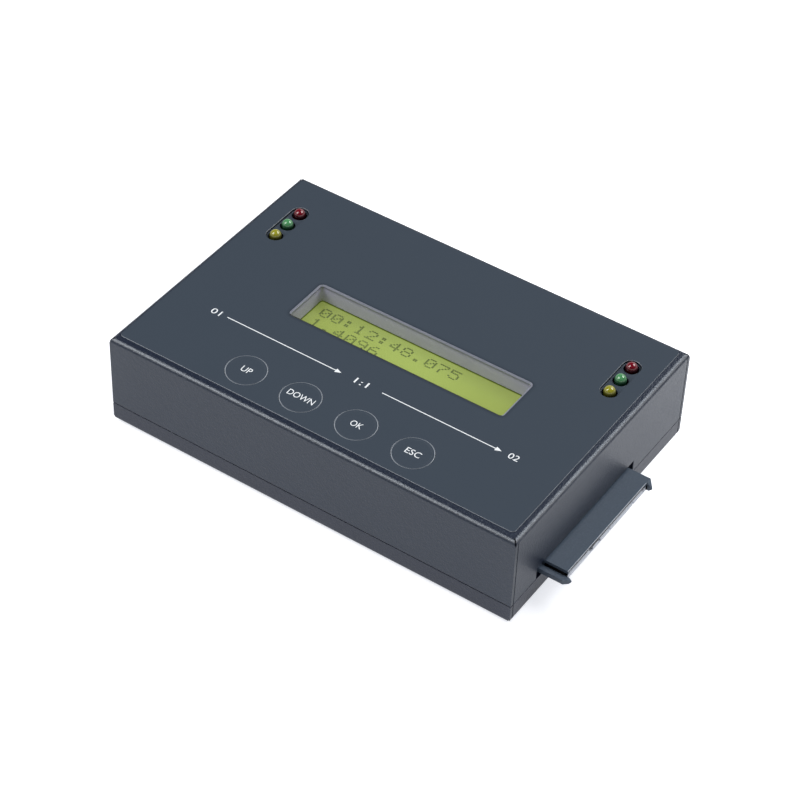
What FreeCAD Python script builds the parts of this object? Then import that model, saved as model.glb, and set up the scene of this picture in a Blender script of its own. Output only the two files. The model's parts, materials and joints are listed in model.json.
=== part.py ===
"""Stand-alone 1:1 SATA drive duplicator, millimetres, +Z up.

Origin: on the surface it stands on, under the middle of its bounding box.
+X is the side with the target port, -Y is the front edge with the four keys.
Everything is built about the middle of the case and shifted once, at the end.
"""
import FreeCAD, Part
import math
import os
from FreeCAD import Vector

# ---------------------------------------------------------------- case
case_length = 114.3
case_width = 77.4
case_height = 26.2
sheet = 1.0                  # steel sheet of cover and tray
inner_bend = 0.2             # inside radius of every fold
corner_relief = 0.3          # slit left between two folded walls
tray_lip = 5.3               # height of the tray's folded edge
seam_gap = 0.3               # line between cover and tray
foot_diameter = 8.0
foot_height = 0.6
foot_inset = 12.0
post_inset = 4.7             # corner posts, from the outside of the case
post_across_flats = 5.5
tab_width = 9.0
tab_rise = 4.5               # how far a locating tab stands into the cover
tab_clearance = 0.15
case_screw_head = 5.4
case_screw_length = 8.0

# ---------------------------------------------------------------- printed film, window and keys
film = 0.25
film_margin_right = 2.1      # the film is stuck on a little towards the rear left
film_margin_left = 1.35
film_margin_front = 2.25
film_margin_rear = 1.35
film_corner = 1.0
window_length = 61.2
window_width = 14.0
window_corner = 1.2
window_x = 2.45              # the display is set a little right of the middle
window_y = 0.2
lens_thickness = 0.8
ledge = 0.4                  # step of the display frame that carries the lens
key_names = ("up", "down", "ok", "esc")
key_pitch = 15.7
key_row_x = -0.5
key_row_inset = 9.95         # key centres, from the front of the case
key_diameter = 10.1
key_travel = 0.3
key_gap = 0.1                # radial gap round a key
rim_height = 0.2             # embossed ring near a key's edge
pusher_diameter = 4.2
pusher_height = 0.5

# ---------------------------------------------------------------- lamps
lamp_colours = ("yellow", "green", "red")
lamp_pitch = 5.08
lamp_inset = 8.75            # lamp rows, from the side walls
lamp_row_y = 20.8
lamp_diameter = 3.0
lamp_length = 5.3
lamp_collar = 3.8
lamp_stand_out = 1.45        # dome above the steel
lamp_hole = 3.5
lamp_slot_width = 4.8
lead_size = 0.5              # square leads
lead_spread = 2.0

# ---------------------------------------------------------------- boards
board_thickness = 1.6
board_inset = 3.65           # main board, from the outside of the case
board_standoff = 2.4
panel_drop = 5.5             # panel board's face, below the cover sheet
display_gap = 2.54           # display board, below the panel board
display_rise = 6.1           # metal bezel, above the display board
display_board_length = 80.0
display_board_width = 36.0
bezel_length = 71.2
bezel_width = 24.2
bezel_sheet = 0.3
glass_thickness = 2.2
hole_clearance = 0.3         # a screw's hole over its shank
fit_clearance = 0.1          # a loose fit, each side
m3 = 3.0
m25 = 2.5

# ---------------------------------------------------------------- drive ports
port_y = -6.4
port_length = 35.0           # the nose
port_height = 2.45
port_lift = 0.7              # nose, above the board
port_reach = 5.85            # nose, out from the side wall
arm_reach = 7.25
arm_half_span = 19.6         # outside of the two guide arms
arm_width = 1.65
low_arm_height = 1.3
housing_length = 41.2
housing_height = 4.0
housing_depth = 10.8
slot_half_span = 16.8        # both slots together
signal_slot = 10.5
slot_key = 2.3               # solid block between the slots
slot_floor = 1.5             # above the board
slot_top = 2.6
slot_leg = 1.2               # width of each L leg
contact_pitch = 1.27
contact_width = 0.7
contact_sheet = 0.25
port_opening_margin = 2.0    # side wall opening, past the guide arms
port_opening_top = 9.05      # above the bottom of the tray

# ---------------------------------------------------------------- rear connectors
serial_x = -20.0
serial_reach = 5.9
serial_flange = (30.8, 12.5, 0.8)
serial_screw_spacing = 24.99
jack_screw_bore = 2.3
rocker_x = 13.0
rocker_tilt = 10.0
jack_x = 30.0
jack_width = 9.0
jack_axis = 6.5              # above the board
jack_depth = 14.0
jack_bore = 6.2
jack_pin = 2.1
rear_proud = 0.5             # jack and switch, past the rear wall
rear_clearance = 0.25

# ---------------------------------------------------------------- worked-out levels and places
bend = sheet + inner_bend
half_length = case_length / 2
half_width = case_width / 2
tray_bottom = foot_height
tray_floor = tray_bottom + sheet
cover_bottom = tray_bottom + tray_lip + seam_gap
cover_top = tray_bottom + case_height
cover_under = cover_top - sheet
film_top = cover_top + film
board_bottom = tray_floor + board_standoff
board_top = board_bottom + board_thickness
panel_top = cover_under - panel_drop
panel_bottom = panel_top - board_thickness
display_board_top = panel_bottom - display_gap
display_board_bottom = display_board_top - board_thickness
bezel_top = display_board_top + display_rise
glass_top = bezel_top - bezel_sheet
key_y = key_row_inset - half_width
key_places = [key_row_x + (place - 1.5) * key_pitch for place in range(4)]
lamp_x = half_length - lamp_inset
lamp_y = dict(zip(lamp_colours, [lamp_row_y + step * lamp_pitch for step in (-1, 0, 1)]))
lamp_slot_length = lamp_slot_width + 2 * lamp_pitch
lamp_top = cover_top + lamp_stand_out
lamp_seat = lamp_top - lamp_length
post_places = [(side * (half_length - post_inset), end * (half_width - post_inset))
               for side in (-1, 1) for end in (-1, 1)]
foot_places = [(side * (half_length - foot_inset), end * (half_width - foot_inset))
               for side in (-1, 1) for end in (-1, 1)]
case_shift = -serial_reach / 2       # puts the bounding box about the origin
diagonal = math.sqrt(0.5)


# ================================================================ drawing helpers
def moved(shape, x=0.0, y=0.0, z=0.0):
    copy = shape.copy()
    copy.translate(Vector(x, y, z))
    return copy


def turned(shape, angle, axis=Vector(0, 0, 1), centre=Vector(0, 0, 0)):
    copy = shape.copy()
    copy.rotate(centre, axis, angle)
    return copy


def block(length, width, height, x=0.0, y=0.0, z=0.0):
    """A box centred on (x, y) that stands on z."""
    return Part.makeBox(length, width, height, Vector(x - length / 2, y - width / 2, z))


def rod(diameter, height, x=0.0, y=0.0, z=0.0):
    return Part.makeCylinder(diameter / 2, height, Vector(x, y, z))


def rounded_block(length, width, height, radius, x=0.0, y=0.0, z=0.0):
    """A block with its four upright edges rounded."""
    body = block(length, width, height, x, y, z)
    upright = [edge for edge in body.Edges if abs(edge.Vertexes[0].Z - edge.Vertexes[1].Z) > height / 2]
    return body.makeFillet(radius, upright)


def obround(length, width, height, x=0.0, y=0.0, z=0.0):
    """A slot-shaped plate, long along Y."""
    straight = length - width
    ends = [rod(width, height, x, y + side * straight / 2, z) for side in (-1, 1)]
    return block(width, straight, height, x, y, z).fuse(ends).removeSplitter()


def hexagon(across_flats, height, x=0.0, y=0.0, z=0.0):
    radius = across_flats / 2 / math.cos(math.pi / 6)
    corners = [Vector(x + radius * math.cos(turn * math.pi / 3), y + radius * math.sin(turn * math.pi / 3), z)
               for turn in range(7)]
    return Part.Face(Part.makePolygon(corners)).extrude(Vector(0, 0, height))


def outline(start, *steps):
    """A face in the XZ plane. A step is a corner, or a (middle, end) pair for an arc."""
    edges = []
    here = start
    for step in steps + (start,):
        if isinstance(step[0], tuple):
            middle, there = step
            ends = [Vector(point[0], 0, point[1]) for point in (here, middle, there)]
            edges.append(Part.Arc(*ends).toShape())
        else:
            there = step
            if there != here:
                edges.append(Part.makeLine(Vector(here[0], 0, here[1]), Vector(there[0], 0, there[1])))
        here = there
    return Part.Face(Part.Wire(edges))


def lathe(*profile):
    """Turns a (radius, height) profile about Z."""
    return outline(*profile).revolve(Vector(0, 0, 0), Vector(0, 0, 1), 360)


def bar(width, *profile):
    """An XZ profile given a width along Y, centred."""
    return moved(outline(*profile).extrude(Vector(0, width, 0)), y=-width / 2)


def cut_all(body, tools):
    return body.cut(tools).removeSplitter()


def group(solids):
    return Part.makeCompound(list(solids))


def at_places(solid, places):
    return [moved(solid, x, y) for x, y in places]


# ================================================================ fasteners
def hex_screw(thread, across_flats, head_height, length):
    """Head above z = 0, shank below it."""
    return hexagon(across_flats, head_height).fuse(rod(thread, length, z=-length)).removeSplitter()


def flat_screw(thread, head, head_height, length):
    """Countersunk head, its face at z = 0, shank above it."""
    return lathe((0, 0), (head / 2, 0), (thread / 2, head_height), (thread / 2, length), (0, length))


def spacer(across_flats, bore, height):
    """Hexagonal tube."""
    return hexagon(across_flats, height).cut(rod(bore, height))


# ================================================================ folded steel
def bent_edge(reach, run, drop):
    """One folded wall: its bend begins at the flat sheet and its outside is at x = reach."""
    hub = reach - bend
    return bar(run, (hub, 0),
               ((hub + bend * diagonal, bend * diagonal - bend), (reach, -bend)),
               (reach, -drop), (reach - sheet, -drop), (reach - sheet, -bend),
               ((hub + inner_bend * diagonal, inner_bend * diagonal - bend), (hub, -sheet)))


def folded_pan(drop):
    """Flat sheet with its face at z = 0 and four walls folded down from it.

    The folds meet in mitred corners. Below them the front and rear walls run the whole
    length and the side walls stop short of them.
    """
    flat = block(case_length - 2 * bend, case_width - 2 * bend, sheet, z=-sheet)
    long_wall = bent_edge(half_width, case_length, drop)
    short_wall = bent_edge(half_length, case_width, drop)
    walls = [turned(long_wall, 90), turned(long_wall, -90), short_wall, turned(short_wall, 180)]
    pan = flat.fuse(walls)
    for side, reach, span in ((0, half_length, case_width), (90, half_width, case_length)):
        pan = pan.common(turned(folded_outside(reach, span, drop), side))
    return cut_all(pan, corner_slits(drop))


def folded_outside(reach, run, drop):
    """Everything inside two opposite walls, rounded as they are along their folds."""
    hub = reach - bend
    curve = (hub + bend * diagonal, bend * diagonal - bend)
    return bar(run, (-hub, 0), (hub, 0), (curve, (reach, -bend)), (reach, -drop), (-reach, -drop),
               (-reach, -bend), ((-curve[0], curve[1]), (-hub, 0)))


def corner_slits(drop):
    """At each corner, a slit along the mitre and one beside the end of the side wall."""
    slits = []
    mitre = turned(block(6 * bend, corner_relief, bend + 2 * sheet, 3 * bend, 0, -bend), 45)
    beside = Part.makeBox(2 * sheet, corner_relief, drop - bend + corner_relief,
                          Vector(-sheet, -sheet - corner_relief, -drop))
    for side, end in ((1, 1), (1, -1), (-1, 1), (-1, -1)):
        for slit, inset in ((mitre, bend), (beside, 0)):
            corner = moved(slit, half_length - inset, half_width - inset)
            if side < 0:
                corner = corner.mirror(Vector(0, 0, 0), Vector(1, 0, 0))
            if end < 0:
                corner = corner.mirror(Vector(0, 0, 0), Vector(0, 1, 0))
            slits.append(corner)
    return slits


def port_opening():
    """Side wall opening for a drive port, open at the wall's lower edge."""
    span = 2 * (arm_half_span + port_opening_margin)
    height = tray_bottom + port_opening_top - cover_bottom
    openings = [block(4 * sheet, span, height + sheet, side * half_length, port_y, cover_bottom - sheet)
                for side in (-1, 1)]
    return openings


def rear_openings():
    """Rear wall openings, open downwards so that the cover lifts off the connectors."""
    wall = 4 * sheet
    low = board_top - rear_clearance
    jack = moved(jack_section(wall, rear_clearance), jack_x, half_width, board_top)
    jack_way = block(jack_width + 2 * rear_clearance, wall, jack_axis + rear_clearance,
                     jack_x, half_width, low)
    rocker = block(rocker_size[0] + 2 * rear_clearance, wall, rocker_size[2] + 2 * rear_clearance,
                   rocker_x, half_width, low)
    serial = moved(serial_section(wall, serial_shell_wall + rear_clearance), serial_x, half_width, serial_z)
    openings = [jack, jack_way, rocker, serial]
    screw_hole = turned(rod(m3 + hole_clearance, wall), 90, Vector(1, 0, 0))
    for side in (-1, 1):
        openings.append(moved(screw_hole, serial_x + side * serial_screw_spacing / 2, half_width + wall / 2,
                              serial_z))
    return openings


def serial_way():
    """The part of the serial port's opening that runs down to the cover's lower edge."""
    width = serial_width + 2 * (serial_shell_wall + rear_clearance)
    height = serial_z - cover_bottom + sheet
    return block(width, 4 * sheet, height, serial_x, half_width, cover_bottom - sheet)


def top_cover():
    pan = moved(folded_pan(case_height - tray_lip - seam_gap), z=cover_top)
    through = 3 * sheet
    low = cover_under - sheet
    window = rounded_block(window_length, window_width, through, window_corner, window_x, window_y, low)
    keys = [rod(key_diameter + 2 * key_gap, through, x, key_y, low) for x in key_places]
    lamps = [rod(lamp_hole, through, side * lamp_x, y, low) for side in (-1, 1) for y in lamp_y.values()]
    walls = port_opening() + rear_openings() + [serial_way()]
    return cut_all(pan, [window] + keys + lamps + walls)


def locating_tab(reach):
    """Strip welded inside the tray's edge that stands up behind the cover's wall."""
    weld_face = reach - sheet
    free_face = weld_face - tab_clearance
    back = weld_face - sheet
    seam = tray_bottom + tray_lip
    top = seam + tab_rise
    return bar(tab_width, (back, tray_floor + inner_bend), (weld_face, tray_floor + inner_bend),
               (weld_face, seam), (free_face, seam), (free_face, top - sheet),
               (free_face - sheet / 2, top), (back, top))


def bottom_tray():
    pan = moved(turned(folded_pan(tray_lip), 180, Vector(1, 0, 0)), z=tray_bottom)
    front = turned(locating_tab(half_width), -90)
    rear = turned(locating_tab(half_width), 90)
    right = locating_tab(half_length)
    left = turned(locating_tab(half_length), 180)
    side_tab_y = half_width - 2.3 * post_inset
    tabs = [moved(front, x) for x in (-case_length / 4, case_length / 4)]
    tabs += [moved(rear, x) for x in (serial_x + serial_flange[0] / 2 + tab_width / 2 + 1, -lamp_x + 3)]
    tabs += [moved(right, y=side_tab_y), moved(left, y=side_tab_y)]
    cone = lathe((0, 0), (case_screw_head / 2 + fit_clearance, 0),
                 ((m3 + hole_clearance) / 2, sheet), (0, sheet))
    holes = [moved(cone, x, y, tray_bottom) for x, y in post_places]
    return cut_all(pan.fuse(tabs), holes + rear_openings())


def corner_posts():
    """Hexagonal posts pressed into the cover; the tray is screwed to their lower ends."""
    height = cover_under - tray_floor
    post = hexagon(post_across_flats, height, z=tray_floor)
    bore = rod(m3 + fit_clearance, case_screw_length, z=tray_floor)
    return group(at_places(post.cut(bore), post_places))


def case_screws():
    screw = moved(flat_screw(m3, case_screw_head, sheet, case_screw_length), z=tray_bottom)
    return group(at_places(screw, post_places))


def rubber_feet():
    radius = foot_diameter / 2
    foot = lathe((0, 0), (radius - foot_height / 2, 0), (radius, foot_height / 2),
                 (radius, foot_height), (0, foot_height))
    return group(at_places(foot, foot_places))


# ================================================================ film, window and keys
def panel_overlay():
    """Printed film over the flat of the cover."""
    length = case_length - film_margin_left - film_margin_right
    width = case_width - film_margin_front - film_margin_rear
    middle_x = (film_margin_left - film_margin_right) / 2
    middle_y = (film_margin_front - film_margin_rear) / 2
    sheet_of_film = rounded_block(length, width, film, film_corner, middle_x, middle_y, cover_top)
    window = rounded_block(window_length, window_width, film, window_corner, window_x, window_y, cover_top)
    keys = [rod(key_diameter + 2 * key_gap, film, x, key_y, cover_top) for x in key_places]
    lamps = [obround(lamp_slot_length, lamp_slot_width, film, side * lamp_x, lamp_row_y, cover_top)
             for side in (-1, 1)]
    return cut_all(sheet_of_film, [window] + keys + lamps)


def display_lens():
    return rounded_block(window_length - 2 * fit_clearance, window_width - 2 * fit_clearance, lens_thickness,
                         window_corner - fit_clearance, window_x, window_y, cover_under)


def display_frame():
    """Moulded frame between the cover and the display; its inner step carries the lens."""
    height = cover_under - bezel_top
    wall = 2.4
    outside = rounded_block(window_length + 2 * wall, window_width + 2 * wall, height, window_corner + wall,
                            window_x, window_y, bezel_top)
    opening = rounded_block(window_length - 2 * ledge, window_width - 2 * ledge, height,
                            window_corner - ledge, window_x, window_y, bezel_top)
    return outside.cut(opening)


def key_cap(x):
    """Film disc with an embossed ring near its edge and a pusher under it."""
    radius = key_diameter / 2
    ring = radius - 2.5 * rim_height
    low = cover_top - pusher_height
    disc = lathe((0, low), (pusher_diameter / 2, low), (pusher_diameter / 2, cover_top),
                 (radius, cover_top), (radius, film_top), (ring + 1.5 * rim_height, film_top),
                 (ring, film_top + rim_height), (ring - 1.5 * rim_height, film_top), (0, film_top))
    return moved(disc, x, key_y)


# ================================================================ key switches
switch_size = 6.0
switch_height = 3.5
switch_frame_sheet = 0.4
stem_diameter = 3.4
stem_flange = 4.4
stem_flange_height = 0.7
dome_diameter = 4.2
dome_rise = 0.5
dome_sheet = 0.1
running_gap = 0.05
switch_cavity = stem_flange + 4 * running_gap
frame_under = panel_top + switch_height - switch_frame_sheet
flange_top = frame_under - running_gap
cavity_floor = flange_top - stem_flange_height - key_travel - dome_rise


def switch_stem(x):
    low = flange_top - stem_flange_height
    stem_top = cover_top - pusher_height
    stem = lathe((0, low), (stem_flange / 2, low), (stem_flange / 2, flange_top),
                 (stem_diameter / 2, flange_top), (stem_diameter / 2, stem_top), (0, stem_top))
    return moved(stem, x, key_y)


def switch_housings():
    body = block(switch_size, switch_size, frame_under - panel_top, z=panel_top)
    cavity = rod(switch_cavity, frame_under - cavity_floor, z=cavity_floor)
    return group(at_places(body.cut(cavity), [(x, key_y) for x in key_places]))


def switch_frames():
    """Steel lid of each switch, with two legs folded down to the board."""
    outer = switch_size / 2 + switch_frame_sheet
    inner = switch_size / 2
    top = panel_top + switch_height
    lid = bar(0.8 * switch_size, (-outer, panel_top), (-inner, panel_top), (-inner, frame_under),
              (inner, frame_under), (inner, panel_top), (outer, panel_top), (outer, top), (-outer, top))
    hole = rod(stem_diameter + 4 * running_gap, switch_height, z=panel_top)
    return group(at_places(lid.cut(hole), [(x, key_y) for x in key_places]))


def switch_domes():
    """Snap dome under each stem: the key's return spring."""
    foot = dome_diameter / 2
    top = cavity_floor + dome_rise
    dome = lathe((foot - 4 * dome_sheet, cavity_floor), (foot, cavity_floor), (0, top), (0, top - dome_sheet))
    return group(at_places(dome, [(x, key_y) for x in key_places]))


# ================================================================ lamps
def lamp_pair(colour):
    radius = lamp_diameter / 2
    crown = lamp_length - radius
    lamp = lathe((0, 0), (lamp_collar / 2, 0), (lamp_collar / 2, 1.0), (radius, 1.0), (radius, crown),
                 ((radius * diagonal, crown + radius * diagonal), (0, lamp_length)))
    return group([moved(lamp, side * lamp_x, lamp_y[colour], lamp_seat) for side in (-1, 1)])


lead_places = [(side * lamp_x + foot * lead_spread / 2, y)
               for side in (-1, 1) for y in lamp_y.values() for foot in (-1, 1)]
lead_tail = 1.2


def lamp_leads():
    low = panel_bottom - lead_tail
    return group([block(lead_size, lead_size, lamp_seat - low, x, y, low) for x, y in lead_places])


def lead_holes(bottom, height):
    size = lead_size + hole_clearance
    return [block(size, size, height, x, y, bottom) for x, y in lead_places]


def lamp_holders():
    """Black carrier under each row of lamps."""
    height = lamp_seat - panel_top
    rows = [obround(lamp_slot_length, lamp_slot_width, height, side * lamp_x, lamp_row_y, panel_top)
            for side in (-1, 1)]
    return group([row.cut(lead_holes(panel_top, height)) for row in rows])


# ================================================================ display module
display_hole_inset = 2.5
display_screw_places = [(window_x + side * (display_board_length / 2 - display_hole_inset),
                         window_y + end * (display_board_width / 2 - display_hole_inset))
                        for side in (-1, 1) for end in (-1, 1)]
glass_bottom = glass_top - glass_thickness
glass_width = bezel_width - 2 * bezel_sheet - 0.8
glass_length = bezel_length - 2 * bezel_sheet - 0.8


def lcd_bezel():
    """Pressed steel frame round the display glass, open to the board."""
    shell = rounded_block(bezel_length, bezel_width, display_rise, 0.6, window_x, window_y, display_board_top)
    hollow = block(bezel_length - 2 * bezel_sheet, bezel_width - 2 * bezel_sheet, display_rise - bezel_sheet,
                   window_x, window_y, display_board_top)
    view = block(window_length + 1.2, window_width + 1.2, display_rise, window_x, window_y, glass_top)
    return shell.cut([hollow, view])


def lcd_glass():
    """Two bonded plates, the lower one wider to carry the contacts."""
    half = glass_thickness / 2
    lower = block(glass_length, glass_width, half, window_x, window_y, glass_bottom)
    upper = block(glass_length, glass_width - 4.0, half, window_x, window_y, glass_bottom + half)
    return lower.fuse(upper).removeSplitter()


def lcd_backlight():
    """Light guide block with the lamp bar on its right end."""
    height = glass_bottom - display_board_top
    guide = block(window_length + 2.0, window_width + 3.0, height, window_x, window_y, display_board_top)
    notch = block(2.0, 6.0, height / 2, window_x + window_length / 2 + 1.0, window_y, display_board_top)
    return guide.cut(notch)


def lcd_contact_strips():
    """Rubber contact strips between the display board and the glass."""
    height = glass_bottom - display_board_top
    offset = glass_width / 2 - 1.0
    return group([block(window_length - 4.0, 1.6, height, window_x, window_y + side * offset,
                        display_board_top) for side in (-1, 1)])


def lcd_board():
    body = block(display_board_length, display_board_width, board_thickness, window_x, window_y,
                 display_board_bottom)
    holes = [rod(m25 + hole_clearance, board_thickness, x, y, display_board_bottom)
             for x, y in display_screw_places]
    return body.cut(holes)


def lcd_spacers():
    tube = moved(spacer(4.5, m25 + hole_clearance, display_gap), z=display_board_top)
    return group(at_places(tube, display_screw_places))


def lcd_screws():
    length = panel_top - display_board_bottom
    screw = turned(hex_screw(m25, 4.0, 1.4, length), 180, Vector(1, 0, 0))
    return group(at_places(moved(screw, z=display_board_bottom), display_screw_places))


header_pitch = 2.54
header_pin = 0.64


def lcd_header():
    """Sixteen-way strip that joins the display board to the panel board."""
    length = 16 * header_pitch
    left = window_x - display_board_length / 2 + 7.7
    y = window_y + display_board_width / 2 - 2.2
    return block(length, 2.4, display_gap, left + length / 2, y, display_board_top)


# ================================================================ panel board
panel_side_inset = 5.65
panel_front_inset = 5.2
panel_waist = 20.0           # rear edge between the two lamp ears
panel_ear_start = 37.0
panel_ear_end = lamp_row_y + lamp_slot_length / 2 + 0.5
panel_standoff_places = [(side * 40.0, y) for side in (-1, 1) for y in (key_y, lamp_row_y + 4.5)]


def panel_board():
    side = half_length - panel_side_inset
    front = panel_front_inset - half_width
    thickness = board_thickness
    waist = Part.makeBox(2 * side, panel_waist - front, thickness, Vector(-side, front, panel_bottom))
    ear_length = side - panel_ear_start
    ears = [Part.makeBox(ear_length, panel_ear_end - panel_waist, thickness,
                         Vector(x, panel_waist, panel_bottom)) for x in (-side, panel_ear_start)]
    body = waist.fuse(ears).removeSplitter()
    opening = block(bezel_length + 1.0, bezel_width + 1.0, thickness, window_x, window_y, panel_bottom)
    post_room = post_across_flats + 3.0
    tools = [opening]
    tools += [rod(post_room, thickness, x, y, panel_bottom) for x, y in post_places]
    tools += lead_holes(panel_bottom, thickness)
    tools += [rod(m25 + hole_clearance, thickness, x, y, panel_bottom) for x, y in panel_standoff_places]
    tools += [rod(m25 + fit_clearance, thickness, x, y, panel_bottom) for x, y in display_screw_places]
    return cut_all(body, tools)


def panel_standoffs():
    tube = moved(spacer(5.0, m25 + fit_clearance, panel_drop), z=panel_top)
    return group(at_places(tube, panel_standoff_places))


def panel_screws():
    length = board_thickness + 4.0
    screw = turned(hex_screw(m25, 4.0, 1.4, length), 180, Vector(1, 0, 0))
    return group(at_places(moved(screw, z=panel_bottom), panel_standoff_places))


# ================================================================ board-to-board header
link_ways = 8
link_rows = 2
link_width = 5.0
link_strip = 2.54
link_pin_length = 6.0
link_x = 0.0
link_y = -22.5
link_pins = [(link_x + (way - (link_ways - 1) / 2) * header_pitch, link_y + (row - 0.5) * header_pitch)
             for way in range(link_ways) for row in range(link_rows)]
socket_top = panel_bottom - link_strip


def header_socket():
    body = block(link_ways * header_pitch, link_width, socket_top - board_top, link_x, link_y, board_top)
    mouth = header_pin + 2 * fit_clearance
    depth = link_pin_length + 0.4
    return body.cut([block(mouth, mouth, depth, x, y, socket_top - depth) for x, y in link_pins])


def header_pins():
    strip = block(link_ways * header_pitch, link_width, link_strip, link_x, link_y, socket_top)
    pins = [block(header_pin, header_pin, link_pin_length, x, y, socket_top - link_pin_length)
            for x, y in link_pins]
    return group([strip] + pins)


# ================================================================ main board
controller_place = (-4.0, 1.0)
memory_places = ((-25.0, 6.0), (-25.0, -8.0))
regulator_places = ((17.0, 9.0), (29.0, 9.0))
inductor_places = ((17.0, -3.0), (29.0, -3.0))
capacitor_places = ((44.0, 22.0), (35.5, 20.5), (-44.0, 22.0))
crystal_place = (-13.5, -13.0)
buzzer_place = (28.0, -24.0)
notch_room = post_across_flats / 2 / math.cos(math.pi / 6) + 0.8
board_screw_places = [(side * 42.0, end * (half_width - board_inset - 5.0))
                      for side in (-1, 1) for end in (-1, 1)]
serial_width = 16.3
serial_height = 7.9
serial_shell_wall = 0.4
serial_z = board_top + serial_flange[1] / 2
serial_block_depth = 8.0
serial_back = half_width - sheet - serial_flange[2] - serial_block_depth
serial_pitch = 2.77
serial_row_gap = 2.84
serial_rows = ((5, 0.5, 3.4), (4, -0.5, 1.2))      # ways, half-row offset, reach of the tails
serial_contact = 0.6
serial_tails = [(serial_x + (way - (ways - 1) / 2) * serial_pitch, serial_back - reach)
                for ways, _, reach in serial_rows for way in range(ways)]


def main_board():
    """Board that carries both ports; its corners clear the cover's posts."""
    body = block(case_length - 2 * board_inset, case_width - 2 * board_inset, board_thickness, z=board_bottom)
    tools = [block(2 * notch_room, 2 * notch_room, board_thickness, x, y, board_bottom)
             for x, y in post_places]
    tools += [block(2 * notch_room, 2 * notch_room, board_thickness, x + math.copysign(notch_room, x),
                    y + math.copysign(notch_room, y), board_bottom) for x, y in post_places]
    tools += [rod(m3 + hole_clearance, board_thickness, x, y, board_bottom) for x, y in board_screw_places]
    tail_hole = serial_contact + hole_clearance
    tools += [block(tail_hole, tail_hole, board_thickness, x, y, board_bottom) for x, y in serial_tails]
    return cut_all(body, tools)


def board_standoffs():
    tube = moved(spacer(5.5, m3 + fit_clearance, board_standoff), z=tray_floor)
    return group(at_places(tube, board_screw_places))


def board_screws():
    length = board_thickness + board_standoff - 0.2
    screw = moved(hex_screw(m3, 5.0, 1.8, length), z=board_top)
    return group(at_places(screw, board_screw_places))


def leadless_chip(length, width, height):
    """Flat package soldered by pads on its underside, its upper edge chamfered."""
    body = block(length, width, height, z=board_top)
    top_edges = [edge for edge in body.Edges if all(v.Z > board_top + height / 2 for v in edge.Vertexes)]
    return body.makeChamfer(0.2, top_edges)


def controller_chip():
    return moved(leadless_chip(14.0, 14.0, 1.4), controller_place[0], controller_place[1])


def memory_chips():
    return group(at_places(leadless_chip(13.5, 8.0, 1.1), memory_places))


def power_regulators():
    """Surface-mount regulators with their soldered tabs."""
    length, width = 6.6, 6.1
    tab = block(5.4, 1.2, 0.5, y=width / 2 + 0.6)
    feet = [block(0.8, 2.6, 0.5, side * 2.3, -width / 2 - 1.3) for side in (-1, 1)]
    regulator = block(length, width, 2.3).fuse([tab] + feet).removeSplitter()
    return group(at_places(moved(regulator, z=board_top), regulator_places))


def power_inductors():
    """Shielded inductors: squares with cut corners."""
    body = block(7.0, 7.0, 4.0, z=board_top)
    upright = [edge for edge in body.Edges if abs(edge.Vertexes[0].Z - edge.Vertexes[1].Z) > 1.0]
    return group(at_places(body.makeChamfer(1.2, upright), inductor_places))


def bulk_capacitors():
    """Aluminium cans on square bases."""
    radius = 3.15
    base = block(6.6, 6.6, 0.8, z=board_top)
    can = rod(2 * radius, 5.1, z=board_top + 0.8)
    return group(at_places(base, capacitor_places) + at_places(can, capacitor_places))


def clock_crystal():
    return obround(11.4, 4.8, 3.2, crystal_place[0], crystal_place[1], board_top)


def buzzer():
    """Round sounder with a hole in its lid."""
    body = lathe((0, 0), (5.0, 0), (5.0, 5.4), (1.0, 5.4), (1.0, 3.0), (0, 3.0))
    return moved(body, buzzer_place[0], buzzer_place[1], board_top)


# ================================================================ drive ports
def l_slot(near, far, leg_at, depth):
    """L-shaped mouth in the YZ plane from y = near to y = far; the leg drops at one end."""
    nose_floor = port_lift + 0.3
    leg_far = leg_at + math.copysign(slot_leg, (near + far) / 2 - leg_at)
    mouth = Part.makeBox(depth, far - near, slot_top - slot_floor,
                         Vector(port_reach - depth, near, slot_floor))
    leg = Part.makeBox(depth, slot_leg, slot_top - nose_floor,
                       Vector(port_reach - depth, min(leg_at, leg_far), nose_floor))
    lead_in = bar(far - near, (-0.35, 0), (0, 0), (0, -0.35))
    lead_in = moved(lead_in, port_reach, (near + far) / 2, slot_floor)
    return [mouth, leg, lead_in]


def guide_arm(side, height):
    """Arm beside the nose, tapered on its outside and over its tip."""
    outer = arm_half_span
    inner = outer - arm_width
    taper = 1.4
    root = -2 * sheet
    plan = [(root, inner), (arm_reach, inner), (arm_reach, outer - taper / 2 - 0.6),
            (arm_reach - taper, outer), (root, outer)]
    corners = [Vector(x, side * y, port_lift) for x, y in plan + plan[:1]]
    arm = Part.Face(Part.makePolygon(corners)).extrude(Vector(0, 0, height))
    over = 0.55 * height
    under = 0.3 * height
    slopes = [bar(3 * arm_width, (arm_reach - over, height), (arm_reach, height), (arm_reach, height - over)),
              bar(3 * arm_width, (arm_reach - under, 0), (arm_reach, 0), (arm_reach, under))]
    return arm.cut([moved(slope, y=side * (inner + outer) / 2, z=port_lift) for slope in slopes])


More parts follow.
